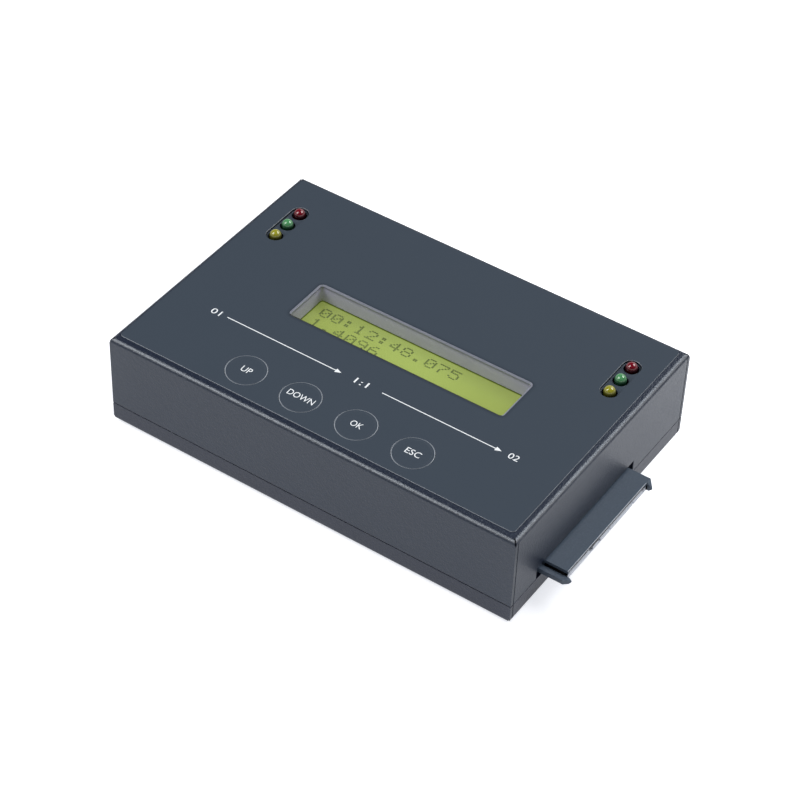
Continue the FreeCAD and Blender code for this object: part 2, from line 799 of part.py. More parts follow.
def port_housing():
    """Receptacle that takes a drive's combined signal and power edge.

    Drawn facing +X with x = 0 on the outside of the wall and z = 0 on the board.
    """
    back = -housing_depth - sheet
    body = Part.makeBox(housing_depth - 0.2, housing_length, housing_height,
                        Vector(back, -housing_length / 2, 0))
    rear_edges = [edge for edge in body.Edges
                  if all(abs(v.X - back) < 0.01 and v.Z > 1 for v in edge.Vertexes)]
    body = body.makeChamfer(0.8, rear_edges)
    nose = Part.makeBox(port_reach + 2 * sheet, port_length, port_height,
                        Vector(-2 * sheet, -port_length / 2, port_lift))
    low_arm = guide_arm(-1, low_arm_height)
    tall_arm = guide_arm(1, port_height)
    web_gap = arm_half_span - arm_width - port_length / 2
    web_y = (port_length + web_gap) / 2
    low_web = block(0.6, web_gap, low_arm_height, port_reach - 0.3, -web_y, port_lift)
    tall_web = block(port_reach + sheet, web_gap, port_height, (port_reach - sheet) / 2, web_y, port_lift)
    housing = body.fuse([nose, low_arm, tall_arm, low_web, tall_web])
    mouth_depth = port_reach + sheet
    signal_end = signal_slot - slot_half_span
    power_start = signal_end + slot_key
    tools = l_slot(-slot_half_span, signal_end, signal_end, mouth_depth)
    tools += l_slot(power_start, slot_half_span, power_start, mouth_depth)
    passage = housing_depth + sheet
    passage_floor = slot_top - contact_sheet - fit_clearance
    for near, far in ((-slot_half_span, signal_end), (power_start, slot_half_span)):
        tools.append(Part.makeBox(passage, far - near, slot_top - passage_floor,
                                  Vector(back, near, passage_floor)))
    for notch in (5.4, 15.9):
        tools.append(block(0.8, 0.45, slot_floor - port_lift, port_reach, power_start + notch, port_lift))
    housing = cut_all(housing, tools)
    ribs = [block(0.9, 0.35, slot_top - slot_floor, port_reach - 0.65, power_start + notch - 0.4, slot_floor)
            for notch in (5.4, 15.9)]
    return housing.fuse(ribs).removeSplitter()


def port_contacts():
    """Seven signal and fifteen power contacts under the slots' ceiling, tails on the board."""
    back = -housing_depth - sheet
    tip = port_reach - 1.4
    under = slot_top - contact_sheet
    tail = back - 0.6
    foot = tail - 1.0
    blade = bar(contact_width, (tip, slot_top), (tip - 0.6, under), (tail + contact_sheet, under),
                (tail + contact_sheet, 0), (foot, 0), (foot, contact_sheet), (tail, contact_sheet),
                (tail, slot_top))
    signal_middle = signal_slot / 2 - slot_half_span
    power_middle = (signal_slot + slot_key) / 2
    places = [signal_middle + (way - 3) * contact_pitch for way in range(7)]
    places += [power_middle + (way - 7) * contact_pitch for way in range(15)]
    return [moved(blade, y=y) for y in places]


def on_right(solid):
    return moved(solid, half_length, port_y, board_top)


def on_left(solid):
    return moved(turned(solid, 180), -half_length, port_y, board_top)


# ================================================================ power jack
def jack_section(depth, grow=0.0):
    """Arched section of the jack, centred on y = 0, standing on z = 0."""
    radius = jack_width / 2 + grow
    top = jack_axis + radius
    return bar(depth, (-radius, 0), (radius, 0), (radius, jack_axis), ((0, top), (-radius, jack_axis)))


def dc_jack():
    front = half_width + rear_proud
    body = moved(jack_section(jack_depth), jack_x, front - jack_depth / 2, board_top)
    bore_depth = 9.5
    bore = turned(rod(jack_bore, bore_depth), 90, Vector(1, 0, 0))
    lead_in = lathe((0, 0), (jack_bore / 2 + 0.5, 0), (jack_bore / 2, 0.5), (0, 0.5))
    mouth = turned(lead_in, 90, Vector(1, 0, 0))
    return body.cut([moved(tool, jack_x, front, board_top + jack_axis) for tool in (bore, mouth)])


def dc_jack_pin():
    """Centre pin of the jack, standing in its bore."""
    front = half_width + rear_proud
    bore_depth = 9.5
    pin_length = bore_depth - 1.0
    pin = lathe((0, 0), (jack_pin / 2, 0), (jack_pin / 2, pin_length - 0.4),
                (jack_pin / 2 - 0.4, pin_length), (0, pin_length))
    upright = turned(pin, -90, Vector(1, 0, 0))
    return moved(upright, jack_x, front - bore_depth, board_top + jack_axis)


# ================================================================ power switch
rocker_size = (13.8, 12.0, 10.2)     # housing: along the wall, into the case, height
rocker_opening = (12.6, 8.2)
rocker_radius = 6.1
rocker_pivot = 1.2                   # below the housing's face
rocker_floor = 5.8
rocker_thickness = 7.8
trunnion = 1.6
trunnion_reach = 0.7
rocker_y = half_width + rear_proud
rocker_z = board_top + rocker_size[2] / 2


def rocker_housing():
    body = block(rocker_size[0], rocker_size[1], rocker_size[2], rocker_x, rocker_y - rocker_size[1] / 2,
                 board_top)
    well = block(rocker_opening[0], rocker_floor, rocker_opening[1], rocker_x, rocker_y - rocker_floor / 2,
                 rocker_z - rocker_opening[1] / 2)
    bearing_length = rocker_thickness + 2 * (trunnion_reach + fit_clearance)
    bearing = rod(trunnion + 2 * running_gap, bearing_length, rocker_x, rocker_y - rocker_pivot,
                  rocker_z - bearing_length / 2)
    return body.cut([well, bearing])


def power_rocker():
    """Rocker with two sloping faces, its round ends centred on its trunnions."""
    crest = math.radians(20)
    heel = math.radians(-12)
    low_end = (rocker_radius * math.cos(heel), rocker_radius * math.sin(heel))
    high_end = (rocker_radius * math.cos(crest), rocker_radius * math.sin(crest))
    valley = high_end[1] - high_end[0] * math.tan(math.radians(rocker_tilt))
    foot = (2.4, -3.2)
    profile = bar(rocker_thickness, (-foot[0], foot[1]), foot, low_end,
                  ((rocker_radius, 0), high_end), (0, valley), (-high_end[0], high_end[1]),
                  ((-rocker_radius, 0), (-low_end[0], low_end[1])))
    outward = turned(profile, -90, Vector(1, 0, 0))
    axle_length = rocker_thickness + 2 * trunnion_reach
    axle = rod(trunnion, axle_length, z=-axle_length / 2)
    rocker = turned(outward.fuse(axle), rocker_tilt)
    return moved(rocker, rocker_x, rocker_y - rocker_pivot, rocker_z)


# ================================================================ serial port
def serial_section(depth, grow=0.0):
    """D-shaped section centred on y = 0 and z = 0, rounded at its corners."""
    slope = serial_height * math.tan(math.radians(10))
    wide = serial_width / 2 + grow
    narrow = wide - slope
    high = serial_height / 2 + grow
    solid = bar(depth, (-narrow, -high), (narrow, -high), (wide, high), (-wide, high))
    corners = [edge for edge in solid.Edges if abs(edge.Vertexes[0].Y - edge.Vertexes[1].Y) > depth / 2]
    return solid.makeFillet(1.6 + grow, corners)


def serial_shell():
    """Steel flange behind the rear wall with the drawn D-shaped collar."""
    face = half_width - sheet
    length, height, thickness = serial_flange
    flange = block(length, thickness, height, serial_x, face - thickness / 2, board_top)
    collar_depth = serial_reach + sheet + thickness
    middle = face - thickness + collar_depth / 2
    collar = moved(serial_section(collar_depth, serial_shell_wall), serial_x, middle, serial_z)
    inside = moved(serial_section(collar_depth, 0), serial_x, middle, serial_z)
    hole = turned(rod(m3 + fit_clearance, thickness), 90, Vector(1, 0, 0))
    holes = [moved(hole, serial_x + side * serial_screw_spacing / 2, face, serial_z) for side in (-1, 1)]
    return flange.fuse(collar).cut([inside] + holes).removeSplitter()


def serial_insulator():
    face = half_width - sheet
    nose_depth = serial_flange[2] + sheet + serial_reach - 0.2
    start = face - serial_flange[2]
    nose = moved(serial_section(nose_depth, -running_gap), serial_x, start + nose_depth / 2, serial_z)
    rear = block(19.2, serial_block_depth, serial_flange[1] - 1.0, serial_x, start - serial_block_depth / 2,
                 board_top)
    hole_depth = 5.0
    hole = turned(rod(1.1, hole_depth), 90, Vector(1, 0, 0))
    front = start + nose_depth
    holes = [moved(hole, serial_x + (way - (ways - 1) / 2) * serial_pitch, front,
                   serial_z + half_row * serial_row_gap)
             for ways, half_row, _ in serial_rows for way in range(ways)]
    return nose.fuse(rear).removeSplitter().cut(holes)


def serial_contacts():
    """Nine tails that leave the back of the port and turn down through the board."""
    tails = []
    low = board_bottom - 1.0
    for ways, half_row, reach in serial_rows:
        level = serial_z + half_row * serial_row_gap
        half = serial_contact / 2
        tail = bar(serial_contact, (0, level - half), (reach - half, level - half), (reach - half, low),
                   (reach + half, low), (reach + half, level + half), (0, level + half))
        rearward = turned(tail, -90)
        tails += [moved(rearward, serial_x + (way - (ways - 1) / 2) * serial_pitch, serial_back)
                  for way in range(ways)]
    return group(tails)


def jack_screws():
    """Hexagonal standoffs that hold the port to the wall and take the plug's screws."""
    shank_length = sheet + serial_flange[2] + 2.0
    head = hexagon(5.0, 5.0).cut(rod(jack_screw_bore, 4.0, z=1.0))
    shank = rod(m3 - 0.2, shank_length, z=-shank_length)
    screw = turned(head.fuse(shank), -90, Vector(1, 0, 0))
    return group([moved(screw, serial_x + side * serial_screw_spacing / 2, half_width, serial_z)
                  for side in (-1, 1)])


# ================================================================ nodes
nodes = {
    "bottom_tray": bottom_tray(),
    "top_cover": top_cover(),
    "corner_posts": corner_posts(),
    "case_screws": case_screws(),
    "rubber_feet": rubber_feet(),
    "panel_overlay": panel_overlay(),
    "display_lens": display_lens(),
    "display_frame": display_frame(),
    "switch_housings": switch_housings(),
    "switch_frames": switch_frames(),
    "switch_domes": switch_domes(),
    "led_holders": lamp_holders(),
    "led_leads": lamp_leads(),
    "lcd_bezel": lcd_bezel(),
    "lcd_glass": lcd_glass(),
    "lcd_backlight": lcd_backlight(),
    "lcd_contact_strips": lcd_contact_strips(),
    "lcd_board": lcd_board(),
    "lcd_spacers": lcd_spacers(),
    "lcd_screws": lcd_screws(),
    "lcd_header": lcd_header(),
    "panel_board": panel_board(),
    "panel_standoffs": panel_standoffs(),
    "panel_screws": panel_screws(),
    "header_socket": header_socket(),
    "header_pins": header_pins(),
    "main_board": main_board(),
    "board_standoffs": board_standoffs(),
    "board_screws": board_screws(),
    "controller_chip": controller_chip(),
    "memory_chips": memory_chips(),
    "power_regulators": power_regulators(),
    "power_inductors": power_inductors(),
    "bulk_capacitors": bulk_capacitors(),
    "clock_crystal": clock_crystal(),
    "buzzer": buzzer(),
    "target_port_housing": on_right(port_housing()),
    "target_port_contacts": group(on_right(blade) for blade in port_contacts()),
    "source_port_housing": on_left(port_housing()),
    "source_port_contacts": group(on_left(blade) for blade in port_contacts()),
    "dc_jack": dc_jack(),
    "dc_jack_pin": dc_jack_pin(),
    "rocker_housing": rocker_housing(),
    "power_rocker": power_rocker(),
    "serial_shell": serial_shell(),
    "serial_insulator": serial_insulator(),
    "serial_contacts": serial_contacts(),
    "jack_screws": jack_screws(),
}
for name, x in zip(key_names, key_places):
    nodes["key_" + name] = key_cap(x)
    nodes[name + "_switch_stem"] = switch_stem(x)
for colour in lamp_colours:
    nodes[colour + "_leds"] = lamp_pair(colour)

os.makedirs("parts", exist_ok=True)
for name, shape in nodes.items():
    placed = moved(shape, y=case_shift)
    placed.exportStep("parts/" + name + ".step")
    print(name, len(placed.Solids), "solids", placed.isValid())
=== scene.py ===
# %% [markdown]
# # Dressing a drive duplicator
# The object is a flat steel box with a printed film on top, four keys under the film, a sunken
# display, two rows of lamps and a drive port on each end. Its solids come ready made, in metres,
# with every body in its place. These cells give them their finishes, and add what is too fine
# for the solids: print, moulded rings, lit display cells, pressed lamp slots, a window rim and
# rounded edges.

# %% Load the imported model
import bmesh
import bpy
import json
import math
from mathutils import Matrix, Vector

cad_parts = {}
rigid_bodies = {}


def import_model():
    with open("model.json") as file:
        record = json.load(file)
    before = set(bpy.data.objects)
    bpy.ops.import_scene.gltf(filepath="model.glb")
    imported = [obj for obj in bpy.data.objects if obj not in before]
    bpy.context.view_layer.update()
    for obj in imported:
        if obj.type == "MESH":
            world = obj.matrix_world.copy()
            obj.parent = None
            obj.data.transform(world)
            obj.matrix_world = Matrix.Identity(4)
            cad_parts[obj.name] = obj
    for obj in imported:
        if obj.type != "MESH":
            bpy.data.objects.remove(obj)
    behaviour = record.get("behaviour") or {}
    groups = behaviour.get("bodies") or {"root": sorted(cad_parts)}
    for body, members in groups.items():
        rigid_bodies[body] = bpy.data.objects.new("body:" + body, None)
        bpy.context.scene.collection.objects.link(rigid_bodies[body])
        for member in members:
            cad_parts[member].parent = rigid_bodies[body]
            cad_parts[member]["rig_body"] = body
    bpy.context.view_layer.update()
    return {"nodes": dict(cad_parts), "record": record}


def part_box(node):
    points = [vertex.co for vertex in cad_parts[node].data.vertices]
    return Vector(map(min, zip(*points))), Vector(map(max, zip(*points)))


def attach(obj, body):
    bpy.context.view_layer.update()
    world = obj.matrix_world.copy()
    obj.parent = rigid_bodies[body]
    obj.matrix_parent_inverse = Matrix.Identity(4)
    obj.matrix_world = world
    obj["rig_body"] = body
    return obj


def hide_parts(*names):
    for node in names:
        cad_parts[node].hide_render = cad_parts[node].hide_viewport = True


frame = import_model()
scene = bpy.context.scene

# %% [markdown]
# ## Units and the places of things
# The frame is in metres and the drawings are in millimetres, so one short helper turns one into
# the other. Places are read from the solids' boxes, so a piece follows its solid if that moves.

# %% Places read from the model
MM = 0.001


def mm(*values):
    """A point given in millimetres, in metres."""
    return Vector([value * MM for value in values])


def middle(node):
    low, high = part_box(node)
    return (low + high) / 2


def top_of(node):
    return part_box(node)[1].z


film_top = top_of("panel_overlay")
window = middle("display_lens")
glass_top = top_of("lcd_glass")
key_names = ("up", "down", "ok", "esc")
key_middles = {name: middle("key_" + name) for name in key_names}
print("film at", round(film_top / MM, 2), "mm, window at", [round(v / MM, 2) for v in window])

# %% [markdown]
# ## Camera
# A long lens from a good half metre away, turned a little about its own axis. The camera looks
# along its own -Z, so a direction becomes a rotation with to_track_quat, and the small roll is
# one more turn about Z.

# %% Camera
camera_place = mm(242.33, -379.15, 425.78)
camera_aim = mm(2.85, -6.61, 13.5)
camera_roll = math.radians(2.39)

lens = bpy.data.cameras.new("product_camera")
lens.lens = 113.72
lens.sensor_width = 36.0
lens.clip_start = 0.01
lens.clip_end = 50.0
camera = bpy.data.objects.new("product_camera", lens)
facing = (camera_aim - camera_place).to_track_quat("-Z", "Y").to_matrix()
camera.matrix_world = Matrix.Translation(camera_place) @ (
    facing @ Matrix.Rotation(camera_roll, 3, "Z")).to_4x4()
scene.collection.objects.link(camera)
scene.camera = camera
scene.view_settings.view_transform = "Standard"
print("camera", round((camera_aim - camera_place).length, 3), "m from its aim")

# %% [markdown]
# ## Shader trees in a few words
# Every finish below is a small tree of nodes. A few helpers keep them readable: one adds a node
# and fills its sockets, one joins two sockets, two stand for the Math nodes, and two make and use
# a group with named sockets.

# %% Helpers for node trees
def add(tree, kind, *sockets, **settings):
    """Adds a node. Sockets are filled in order with values or links; None leaves one alone."""
    node = tree.nodes.new(kind)
    for name, value in settings.items():
        setattr(node, name, value)
    for socket, value in zip(node.inputs, sockets):
        if value is not None:
            join(tree, value, socket)
    return node


def join(tree, value, socket):
    if isinstance(value, bpy.types.NodeSocket):
        tree.links.new(value, socket)
    else:
        socket.default_value = value


def sums(tree, operation, *sockets, clamp=False):
    """A Math node, given as its operation and its inputs."""
    return add(tree, "ShaderNodeMath", *sockets, operation=operation, use_clamp=clamp).outputs[0]


def vectors(tree, operation, *sockets):
    node = add(tree, "ShaderNodeVectorMath", *sockets, operation=operation)
    return node.outputs["Value" if operation in ("LENGTH", "DOT_PRODUCT") else "Vector"]


def new_group(name, inputs, outputs):
    """A shader group with named sockets; returns the tree, its inputs and its output node."""
    tree = bpy.data.node_groups.new(name, "ShaderNodeTree")
    for socket, (kind, value) in inputs.items():
        made = tree.interface.new_socket(socket, in_out="INPUT", socket_type="NodeSocket" + kind)
        if value is not None:
            made.default_value = value
    for socket, kind in outputs.items():
        tree.interface.new_socket(socket, in_out="OUTPUT", socket_type="NodeSocket" + kind)
    return tree, tree.nodes.new("NodeGroupInput").outputs, tree.nodes.new("NodeGroupOutput").inputs


def use_group(tree, group, **values):
    node = tree.nodes.new("ShaderNodeGroup")
    node.node_tree = group
    for name, value in values.items():
        join(tree, value, node.inputs[name.replace("_", " ")])
    return node.outputs


print("node helpers ready")

# %% [markdown]
# ## Six effects that several finishes share
# **Millimetres** hands a finish its own surface place in millimetres, so that patterns are given
# in the sizes that a maker would measure. **Coat grain** is the sandy surface of powder coat and
# of moulded plastic. **Soft edge** rounds the light on a sharp edge and marks it. **Rounded
# panel** is the distance to a rectangle with round corners. **Mirrored box** marks the inside of
# a box on the right half and of its mirror image. **Handling** is the faint unevenness of gloss
# that any surface has.

# %% Group: millimetres
def millimetres_group():
    tree, _, out = new_group("millimetres", {}, {"Place": "Vector"})
    place = add(tree, "ShaderNodeTexCoord").outputs["Object"]
    join(tree, vectors(tree, "MULTIPLY", place, (1000.0, 1000.0, 1000.0)), out["Place"])
    return tree


# %% Group: coat grain
def coat_grain_group():
    tree, given, out = new_group(
        "coat_grain", {"Grain": ("Float", 0.3), "Swell": ("Float", 1.5), "Swell share": ("Float", 0.3)},
        {"Height": "Float", "Speck": "Float"})
    place = use_group(tree, millimetres)["Place"]
    fine = add(tree, "ShaderNodeTexNoise", place, None, sums(tree, "DIVIDE", 1.0, given["Grain"]), 2.0, 0.6)
    broad = add(tree, "ShaderNodeTexNoise", place, None, sums(tree, "DIVIDE", 1.0, given["Swell"]), 1.0, 0.5)
    swell = sums(tree, "MULTIPLY", broad.outputs[0], given["Swell share"])
    join(tree, sums(tree, "ADD", fine.outputs[0], swell), out["Height"])
    speck = add(tree, "ShaderNodeMapRange", fine.outputs[0], 0.42, 0.68, 0.0, 1.0)
    join(tree, speck.outputs[0], out["Speck"])
    return tree


# %% Group: soft edge
def soft_edge_group():
    tree, given, out = new_group(
        "soft_edge", {"Radius": ("Float", 0.0002)}, {"Normal": "Vector", "Edge": "Float"})
    rounded = add(tree, "ShaderNodeBevel", given["Radius"], samples=6)
    flat = add(tree, "ShaderNodeNewGeometry").outputs["Normal"]
    likeness = vectors(tree, "DOT_PRODUCT", rounded.outputs[0], flat)
    edge = add(tree, "ShaderNodeMapRange", likeness, 0.995, 0.80, 0.0, 1.0)
    join(tree, rounded.outputs[0], out["Normal"])
    join(tree, edge.outputs[0], out["Edge"])
    return tree


# %% Group: rounded panel
def rounded_panel_group():
    tree, given, out = new_group(
        "rounded_panel",
        {"Middle": ("Vector", None), "Half size": ("Vector", None), "Radius": ("Float", 1.0)},
        {"Distance": "Float"})
    place = vectors(tree, "SUBTRACT", use_group(tree, millimetres)["Place"], given["Middle"])
    core = vectors(tree, "SUBTRACT", given["Half size"], add(
        tree, "ShaderNodeCombineXYZ", given["Radius"], given["Radius"], 0.0).outputs[0])
    past = vectors(tree, "SUBTRACT", vectors(tree, "ABSOLUTE", place), core)
    sides = add(tree, "ShaderNodeSeparateXYZ", past).outputs
    flat = add(tree, "ShaderNodeCombineXYZ", sides[0], sides[1], 0.0).outputs[0]
    outside = vectors(tree, "LENGTH", vectors(tree, "MAXIMUM", flat, (0.0, 0.0, 0.0)))
    inside = sums(tree, "MINIMUM", sums(tree, "MAXIMUM", sides[0], sides[1]), 0.0)
    join(tree, sums(tree, "SUBTRACT", sums(tree, "ADD", outside, inside), given["Radius"]),
         out["Distance"])
    return tree


# %% Group: mirrored box
def mirrored_box_group():
    tree, given, out = new_group(
        "mirrored_box",
        {"Middle": ("Vector", None), "Half size": ("Vector", None), "Soft": ("Float", 0.05)},
        {"Inside": "Float"})
    place = add(tree, "ShaderNodeSeparateXYZ", use_group(tree, millimetres)["Place"]).outputs
    right = add(tree, "ShaderNodeCombineXYZ", sums(tree, "ABSOLUTE", place[0]), place[1], place[2])
    past = vectors(tree, "ABSOLUTE", vectors(tree, "SUBTRACT", right.outputs[0], given["Middle"]))
    over = add(tree, "ShaderNodeSeparateXYZ", vectors(tree, "SUBTRACT", past, given["Half size"])).outputs
    most = sums(tree, "MAXIMUM", sums(tree, "MAXIMUM", over[0], over[1]), over[2])
    inner = sums(tree, "MULTIPLY", given["Soft"], -1.0)
    inside = add(tree, "ShaderNodeMapRange", most, inner, 0.0, 1.0, 0.0)
    join(tree, inside.outputs[0], out["Inside"])
    return tree


# %% Group: handling
def handling_group():
    tree, given, out = new_group(
        "handling", {"Roughness": ("Float", 0.4), "Spread": ("Float", 0.06)}, {"Roughness": "Float"})
    place = use_group(tree, millimetres)["Place"]
    cloud = add(tree, "ShaderNodeTexNoise", place, None, 0.06, 4.0, 0.6)
    shift = sums(tree, "MULTIPLY", sums(tree, "SUBTRACT", cloud.outputs[0], 0.5), given["Spread"])
    join(tree, sums(tree, "ADD", given["Roughness"], shift, clamp=True), out["Roughness"])
    return tree


# %% The six groups
millimetres = millimetres_group()
coat_grain = coat_grain_group()
soft_edge = soft_edge_group()
rounded_panel = rounded_panel_group()
mirrored_box = mirrored_box_group()
handling = handling_group()
print("groups", [group.name for group in bpy.data.node_groups])

# %% [markdown]
# ## Finishes
# A finish starts from a Principled shader with a coloured, slightly uneven surface. What differs
# is listed next to its name: colour, gloss, grain and how far its edges are rounded. Colours are
# linear values. The record names a slot for every solid, and each slot gets one finish.

# %% The plain finishes
finish = {}


def new_finish(slot, colour, roughness, metallic=0.0, **fixed):
    """A material with a Principled shader; fixed values go straight on its sockets."""
    material = bpy.data.materials.new(slot)
    material.use_nodes = True
    tree = material.node_tree
    shader = tree.nodes["Principled BSDF"]
    shader.inputs["Base Color"].default_value = (*colour, 1.0)
    shader.inputs["Metallic"].default_value = metallic
    for name, value in fixed.items():
        shader.inputs[name.replace("_", " ")].default_value = value
    gloss = use_group(tree, handling, Roughness=roughness)
    join(tree, gloss["Roughness"], shader.inputs["Roughness"])
    finish[slot] = material
    return tree, shader


def mix_colour(tree, share, first, second):
    node = add(tree, "ShaderNodeMix", data_type="RGBA")
    join(tree, share, node.inputs["Factor"])
    for socket, value in (("A", first), ("B", second)):
        colour_socket = [s for s in node.inputs if s.name == socket and s.type == "RGBA"][0]
        join(tree, value if isinstance(value, bpy.types.NodeSocket) else (*value, 1.0), colour_socket)
    return [s for s in node.outputs if s.type == "RGBA"][0]


def lay_over(tree, shader, share, colour):
    """Mixes another colour over a finish's own."""
    own = shader.inputs["Base Color"].links[0].from_socket
    join(tree, mix_colour(tree, share, own, colour), shader.inputs["Base Color"])


def surface(tree, shader, grain, depth, edge_radius, swell=1.5, swell_share=0.3):
    """Grain as bumps over softened edges; returns the edge and speck masks."""
    rounded = use_group(tree, soft_edge, Radius=edge_radius * MM)
    coat = use_group(tree, coat_grain, Grain=grain, Swell=swell, Swell_share=swell_share)
    bump = add(tree, "ShaderNodeBump", None, depth * MM)
    join(tree, 1.0, bump.inputs["Strength"])
    join(tree, coat["Height"], bump.inputs["Height"])
    join(tree, rounded["Normal"], bump.inputs["Normal"])
    join(tree, bump.outputs[0], shader.inputs["Normal"])
    return rounded["Edge"], coat["Speck"]


def plain_finish(slot, colour, roughness, metallic=0.0, grain=0.4, depth=0.004, edge_radius=0.12,
                 edge_highlight_lift=1.25):
    """Moulded or plated finish: its specks are a little lighter than its colour as grain, and its edges are
    painted lighter as a highlight.
    """
    tree, shader = new_finish(slot, colour, roughness, metallic)
    edge, speck = surface(tree, shader, grain, depth, edge_radius)
    # Lighter specks are grain; lighter edges are a painted highlight.
    speck_and_edge_highlight = [min(1.0, value * edge_highlight_lift + 0.004) for value in colour]
    share = sums(tree, "ADD", sums(tree, "MULTIPLY", edge, 0.6), sums(tree, "MULTIPLY", speck, 0.15))
    join(tree, mix_colour(tree, share, colour, speck_and_edge_highlight), shader.inputs["Base Color"])
    return tree, shader


plain_finish("zinc_steel", (0.55, 0.56, 0.56), 0.28, 1.0, 0.8, 0.001)
plain_finish("spring_steel", (0.60, 0.59, 0.57), 0.22, 1.0, 0.8, 0.001)
plain_finish("connector_steel", (0.56, 0.55, 0.53), 0.30, 1.0, 0.6, 0.002)
plain_finish("dark_screw_steel", (0.045, 0.045, 0.05), 0.38, 1.0, 0.3, 0.002)
plain_finish("tinned_lead", (0.66, 0.66, 0.65), 0.25, 1.0, 0.8, 0.001)
plain_finish("gold_contact", (0.78, 0.55, 0.22), 0.24, 1.0, 0.8, 0.001)
plain_finish("can_aluminium", (0.74, 0.75, 0.76), 0.35, 1.0, 0.5, 0.001)
plain_finish("black_steel", (0.012, 0.012, 0.013), 0.45)
plain_finish("black_plastic", (0.014, 0.014, 0.016), 0.42, 0.0, 0.35, 0.006)
plain_finish("switch_plastic", (0.012, 0.012, 0.014), 0.24, 0.0, 0.5, 0.002)
plain_finish("chip_resin", (0.020, 0.020, 0.022), 0.5)
plain_finish("ferrite", (0.045, 0.045, 0.05), 0.6)
plain_finish("strip_rubber", (0.03, 0.03, 0.032), 0.7)
plain_finish("foot_rubber", (0.022, 0.022, 0.024), 0.65, 0.0, 0.5, 0.012)
plain_finish("light_guide", (0.60, 0.66, 0.42), 0.3)
plain_finish("circuit_board", (0.012, 0.085, 0.035), 0.3, 0.0, 1.2, 0.002)
print("plain finishes", len(finish))


# %% [markdown]
# ## Window frame and drive ports
# Both are moulded, and both carry painted light and shade by place. The frame is painted pale
# down in the well and darker on top, with a painted highlight along the ledge of its rim and
# painted shade on its near bar. A port has a painted highlight on its lip and upper front edge,
# and painted shade in its slots and grooves: there the finish turns to a black mirror, which
# gives nothing back.

# %% Window frame
def frame_plastic():
    """Grey moulding with painted light: pale low in the well, darker on top, a painted highlight along the
    ledge of its rim and painted shade on its near bar.
    """
    tree, shader = plain_finish("frame_plastic", (0.62, 0.60, 0.84), 0.42, 0.0, 0.5, 0.003, 0.1)
    place = add(tree, "ShaderNodeSeparateXYZ", use_group(tree, millimetres)["Place"]).outputs
    rim = film_top / MM - 0.20
    # Painted light by height: the pale colour low in the well, a darker one on the lit top.
    upper = add(tree, "ShaderNodeMapRange", place[2], rim - 0.9, rim - 0.2, 0.0, 1.0)
    lay_over(tree, shader, upper.outputs[0], (0.19, 0.20, 0.25))
    # Painted highlight along the ledge of the rim.
    ledge_highlight = sums(tree, "MULTIPLY", sums(tree, "GREATER_THAN", place[2], rim - 0.06),
                 sums(tree, "LESS_THAN", place[2], rim + 0.04))
    lay_over(tree, shader, ledge_highlight, (0.30, 0.32, 0.38))
    # Painted shade on the near bar of the frame.
    near_bar_shade = sums(tree, "LESS_THAN", place[1], middle("display_frame").y / MM - 6.52)
    lay_over(tree, shader, near_bar_shade, (0.020, 0.024, 0.020))


frame_plastic()


# %% Drive ports
port_middle = middle("target_port_housing") / MM
port_front = 63.0


def port_plastic():
    """Blue-grey moulding with painted highlights on its lip and upper front edge, and painted shade in its
    slots and in a groove beside each arm.
    """
    # Its edges get a strong painted highlight.
    tree, shader = plain_finish("port_plastic", (0.068, 0.094, 0.132), 0.40, 0.0, 0.28, 0.003, 0.08, 2.6)
    y, front = port_middle.y, port_front
    # Painted light: black is painted shade in the slots, their mouth and the grooves; pale is a painted
    # highlight on the lip and the upper front edge.
    black, pale = (0.003, 0.003, 0.005), (0.62, 0.66, 0.74)
    painted_light_spots = {
        "inside of the slots": ((front - 4.60, y, 7.65), (4.12, 17.0, 0.60), black),
        "lip under the slots": ((front - 0.20, y, 6.97), (0.52, 17.6, 0.72), pale),
        "mouth of the slots": ((front - 0.30, y, 8.19), (0.40, 16.95, 0.43), black),
        "upper front edge": ((front - 0.02, y, 8.77), (0.13, 17.6, 0.09), pale),
        "groove at one end": ((front - 3.0, y + 17.75, 7.1), (3.2, 0.32, 0.85), black),
        "groove at the other end": ((front - 3.0, y - 17.75, 7.1), (3.2, 0.32, 0.85), black)}
    # Where shade is painted, the finish is a black mirror, so it gives back nothing.
    unlit = 0.0
    for centre, half, colour in painted_light_spots.values():
        inside = use_group(tree, mirrored_box, Middle=centre, Half_size=half)["Inside"]
        lay_over(tree, shader, inside, colour)
        if colour == black:
            unlit = sums(tree, "MAXIMUM", unlit, inside)
        else:
            unlit = sums(tree, "SUBTRACT", unlit, inside, clamp=True)
    join(tree, unlit, shader.inputs["Metallic"])


port_plastic()
print("port middle", [round(v, 2) for v in port_middle])

# %% [markdown]
# ## Powder coat
# The case is steel with a dark sand-texture powder coat. Its own colour is nearly black; the grey
# that the walls show is the pale table in their gloss. So the colour stays dark and the gloss is
# wide. Along the upper folds a pale band is painted as a highlight, and the grain breaks up that
# bright line. The edges are painted a little lighter as a highlight too, and the walls of the lamp
# slots are painted black as shade.

